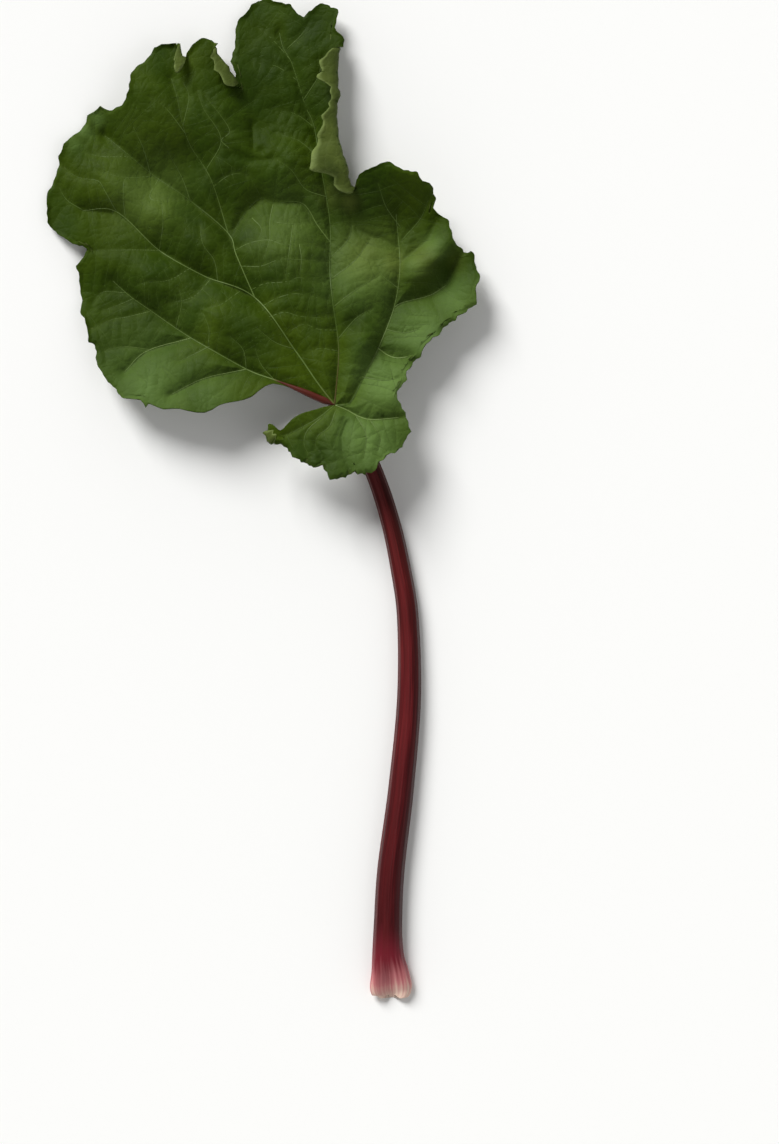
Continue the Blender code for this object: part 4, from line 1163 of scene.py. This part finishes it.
def leaf_material():
    """Fresh rhubarb leaf blade, grown: a waxy, half-matt skin over deep olive tissue.  The eye
    sees soft light with hardly a gleam, yellower patches and a paler, duller underside.  Over the
    upper face are painted: a pale painted sheen where it tilts towards the light, darker patches
    of painted shade where it turns away, and painted light below the rolled edge."""
    material, tree, shader = new_material("fresh_leaf_waxy_green", {
        "Roughness": 0.58, "IOR": 1.42, "Specular IOR Level": 0.08})
    place = add(tree, "TexCoord")["Object"]
    broad, patch, grain = (
        add(tree, "TexNoise", {"Vector": place, "Scale": 1 / size, "Detail": detail})["Fac"]
        for size, detail in ((LOBE_PATCH, 2.0), (VEIN_PATCH, 4.0), (SKIN_GRAIN, 3.0)))
    coarse = vein_net(tree, place, NET_MESH, 0.3 * NET_MESH)
    small = vein_net(tree, place, SMALL_MESH, 0.25 * SMALL_MESH)

    base = add(tree, "ValToRGB", {0: broad},
               [(0.38, "#283a02"), (0.50, "#2f4403"), (0.62, "#3e5003")])[0]
    tone = add(tree, "ValToRGB", {0: patch}, [(0.36, "#273b03"), (0.64, "#3d5105")])[0]
    colour = add(tree, "Mix", {0: 0.4, 6: base, 7: tone}, data_type="RGBA")[2]
    fine = add(tree, "ValToRGB", {0: grain}, [(0.3, "#6e6e6e"), (0.7, "#929292")])[0]
    colour = add(tree, "Mix", {0: 0.45, 6: colour, 7: fine}, data_type="RGBA",
                 blend_type="OVERLAY")[2]
    line = add(tree, "Math", {0: 1.0, 1: coarse}, operation="SUBTRACT")[0]
    line = add(tree, "Math", {0: line, 1: 6.0}, operation="POWER")[0]
    # Tints over the leaf's own green: a pale painted sheen, yellower tints that are partly painted
    # light, and painted shade
    colour = tinted(tree, colour, ("beside_vein", 0.12, "#5d7030"), (line, 0.10, "#5d7030"),
                    ("painted_sheen", 0.75, "#5d773b"), ("warm_and_painted_light", 0.60, "#677432"),
                    ("shade", 0.70, "#1c2c03"))
    pale = add(tree, "ValToRGB", {0: patch}, [(0.3, "#39451a"), (0.7, "#4b5723")])[0]
    pale = tinted(tree, pale, (line, 0.10, "#7f8b56"), ("rim", 1.0, "#687640"))
    colour = tinted(tree, colour, ("underside", 1.0, pale))
    tree.links.new(colour, shader.inputs["Base Color"])

    rough = add(tree, "MapRange", {"Value": patch, "To Min": 0.52, "To Max": 0.64})
    tree.links.new(rough["Result"], shader.inputs["Roughness"])
    relief = coarse
    for finer in (small, grain):
        relief = add(tree, "Math", {0: finer, 1: 0.35, 2: relief}, operation="MULTIPLY_ADD")[0]
    bump = add(tree, "Bump", {"Height": relief, "Strength": 0.32, "Distance": MM})
    tree.links.new(bump["Normal"], shader.inputs["Normal"])
    return material


def vein_material():
    """Leaf vein, grown: a smooth, slightly shiny rib.  The eye sees thin pale green lines that
    sink into the leaf's green as they get finer, and blush brownish red towards the hub."""
    material, tree, shader = new_material("leaf_vein_pale_green", {
        "Roughness": 0.45, "IOR": 1.45, "Specular IOR Level": 0.3})
    place = add(tree, "TexCoord")["Object"]
    patch = add(tree, "TexNoise", {"Vector": place, "Scale": 1 / VEIN_PATCH})["Fac"]
    colour = add(tree, "Mix", {0: patch, 6: "#5d7531", 7: "#84985a"}, data_type="RGBA")[2]
    colour = tinted(tree, colour, ("fineness", 1.0, "#3c5213"), ("blush", 1.0, "#4c1a0f"))
    tree.links.new(colour, shader.inputs["Base Color"])
    return material


def stalk_material():
    """Rhubarb stalk skin, grown: a taut glossy skin over long fibres.  The eye sees burgundy
    streaked lengthwise, with dusty rose on the ridges, browner under the leaf, and a raw foot that
    fades to pink and cream where it was pulled from the crown.  A lighter band on its upper left
    is a painted highlight and its darker right side is painted shade, both standing for the light
    from the upper left."""
    material, tree, shader = new_material("stalk_skin_burgundy", {
        "Roughness": 0.36, "IOR": 1.45, "Specular IOR Level": 0.25})
    place = add(tree, "TexCoord")["Object"]
    along = add(tree, "Attribute", attribute_name="along")["Fac"]
    turns = add(tree, "Attribute", attribute_name="round_it")["Fac"]
    turns = add(tree, "Math", {0: turns, 1: 2 * math.pi}, operation="MULTIPLY")[0]
    # Round the stalk, one unit is its radius, and lengthwise a third of a metre, which draws the
    # noise out into fibres
    sine = add(tree, "Math", {0: turns}, operation="SINE")[0]
    cosine = add(tree, "Math", {0: turns}, operation="COSINE")[0]
    lengthwise = add(tree, "Math", {0: along, 1: 1.6}, operation="MULTIPLY")[0]
    circle = add(tree, "CombineXYZ", {"X": sine, "Y": cosine, "Z": lengthwise})[0]
    streak, fibres, blotch = (
        add(tree, "TexNoise", {"Vector": where, "Scale": scale, "Detail": detail})["Fac"]
        for where, scale, detail in ((circle, STALK_RADIUS / STREAK_WIDTH, 6.0),
                                     (circle, STALK_RADIUS / FIBRE_WIDTH, 3.0),
                                     (place, 1 / STALK_BLOTCH, 3.0)))
    body = add(tree, "ValToRGB", {0: streak}, [
        (0.34, "#2a0709"), (0.46, "#440c0f"), (0.58, "#5a1317"), (0.72, "#6e2325")])[0]
    brown = add(tree, "MapRange", {"Value": along, "From Min": 0.5, "To Max": 0.25})["Result"]
    low = add(tree, "MapRange", {"Value": along, "From Min": 0.45, "From Max": 0.15})["Result"]
    ragged = add(tree, "Math", {0: streak, 1: 0.5}, operation="SUBTRACT")[0]
    ragged = add(tree, "Math", {0: ragged, 1: 0.07, 2: along}, operation="MULTIPLY_ADD")[0]
    foot = add(tree, "MapRange", {"Value": ragged, "From Max": 0.085})["Result"]
    paled = add(tree, "ValToRGB", {0: foot}, [
        (0.0, "#dcc0ae"), (0.35, "#c87a7c"), (0.8, "#8e2838")])[0]
    raw = add(tree, "MapRange", {"Value": ragged, "From Max": 0.12, "To Min": 1.0,
                                 "To Max": 0.0})["Result"]
    # The lighter band is a painted highlight and the darker side is painted shade, standing for
    # the light from the upper left
    colour = tinted(tree, body, (blotch, 0.4, "#300a0c"), ("painted_lit_band", 0.5, "#742527"),
                    ("painted_shade_side", 0.6, "#2c0708"), (brown, 1.0, "#47200f"), (low, 0.5, "#35090d"),
                    (raw, 1.0, paled))
    tree.links.new(colour, shader.inputs["Base Color"])
    bump = add(tree, "Bump", {"Height": fibres, "Strength": 0.35, "Distance": 0.6 * MM})
    tree.links.new(bump["Normal"], shader.inputs["Normal"])
    return material


def make_stage():
    """A plain pale floor, a pale sky, a large soft light from beyond the leaf's tip and a
    weaker one from the other side, both turned to the middle of the object."""
    floor_mesh = bpy.data.meshes.new("floor")
    corners = ((-1, -1), (1, -1), (1, 1), (-1, 1))
    floor_mesh.from_pydata([(x * FLOOR_REACH, y * FLOOR_REACH, 0) for x, y in corners], [],
                           [(0, 1, 2, 3)])
    # Matt painted board: an even pale ground with no gleam
    material, _, _ = new_material("matt_painted_board", {"Roughness": 0.9,
                                                         "Base Color": "#f4f4f2"})
    floor_mesh.materials.append(material)
    new_object("floor", floor_mesh)
    world = bpy.data.worlds.new("soft_sky")
    bpy.context.scene.world = world
    world.use_nodes = True
    tree = world.node_tree
    sky = tree.nodes["Background"]
    direction = add(tree, "TexCoord")["Generated"]
    height = add(tree, "SeparateXYZ", {"Vector": direction})["Z"]
    glow = add(tree, "MapRange", {"Value": height, "From Min": 0.1, "From Max": 0.9,
                                  "To Min": 0.95, "To Max": 0.05})
    tree.links.new(glow["Result"], sky.inputs["Strength"])
    sky.inputs["Color"].default_value = linear("#ffffff")
    for name, place, spread, power in LIGHTS:
        light = bpy.data.lights.new(name, "SUN")
        light.angle = math.radians(spread)
        light.energy = power
        lamp = new_object(name, light)
        lamp.location = place
        lamp.rotation_euler = (-Vector(place)).to_track_quat("-Z", "Y").to_euler()


def make_camera():
    """Looks down on the stalk, square to the surface, so that the drawing's frame fills it."""
    middle = to_metres(np.array(PICTURE) / 2)
    data = bpy.data.cameras.new("camera")
    data.lens = LENS_MM
    data.sensor_width = SENSOR_MM
    distance = PICTURE[1] * UNIT * LENS_MM / SENSOR_MM
    camera = new_object("camera", data)
    camera.location = (middle[0], middle[1], distance + FRAMED_HEIGHT)
    bpy.context.scene.camera = camera


make_stage()
make_camera()
blade = make_blade(leaf_material())
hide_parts("leaf_blade")
veins = make_veins(vein_material())
stalk = make_stalk(stalk_material())
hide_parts("stalk")
bpy.context.scene.view_settings.view_transform = "Standard"

for piece in (blade, veins, stalk):
    print(piece.name, len(piece.data.polygons), "faces")
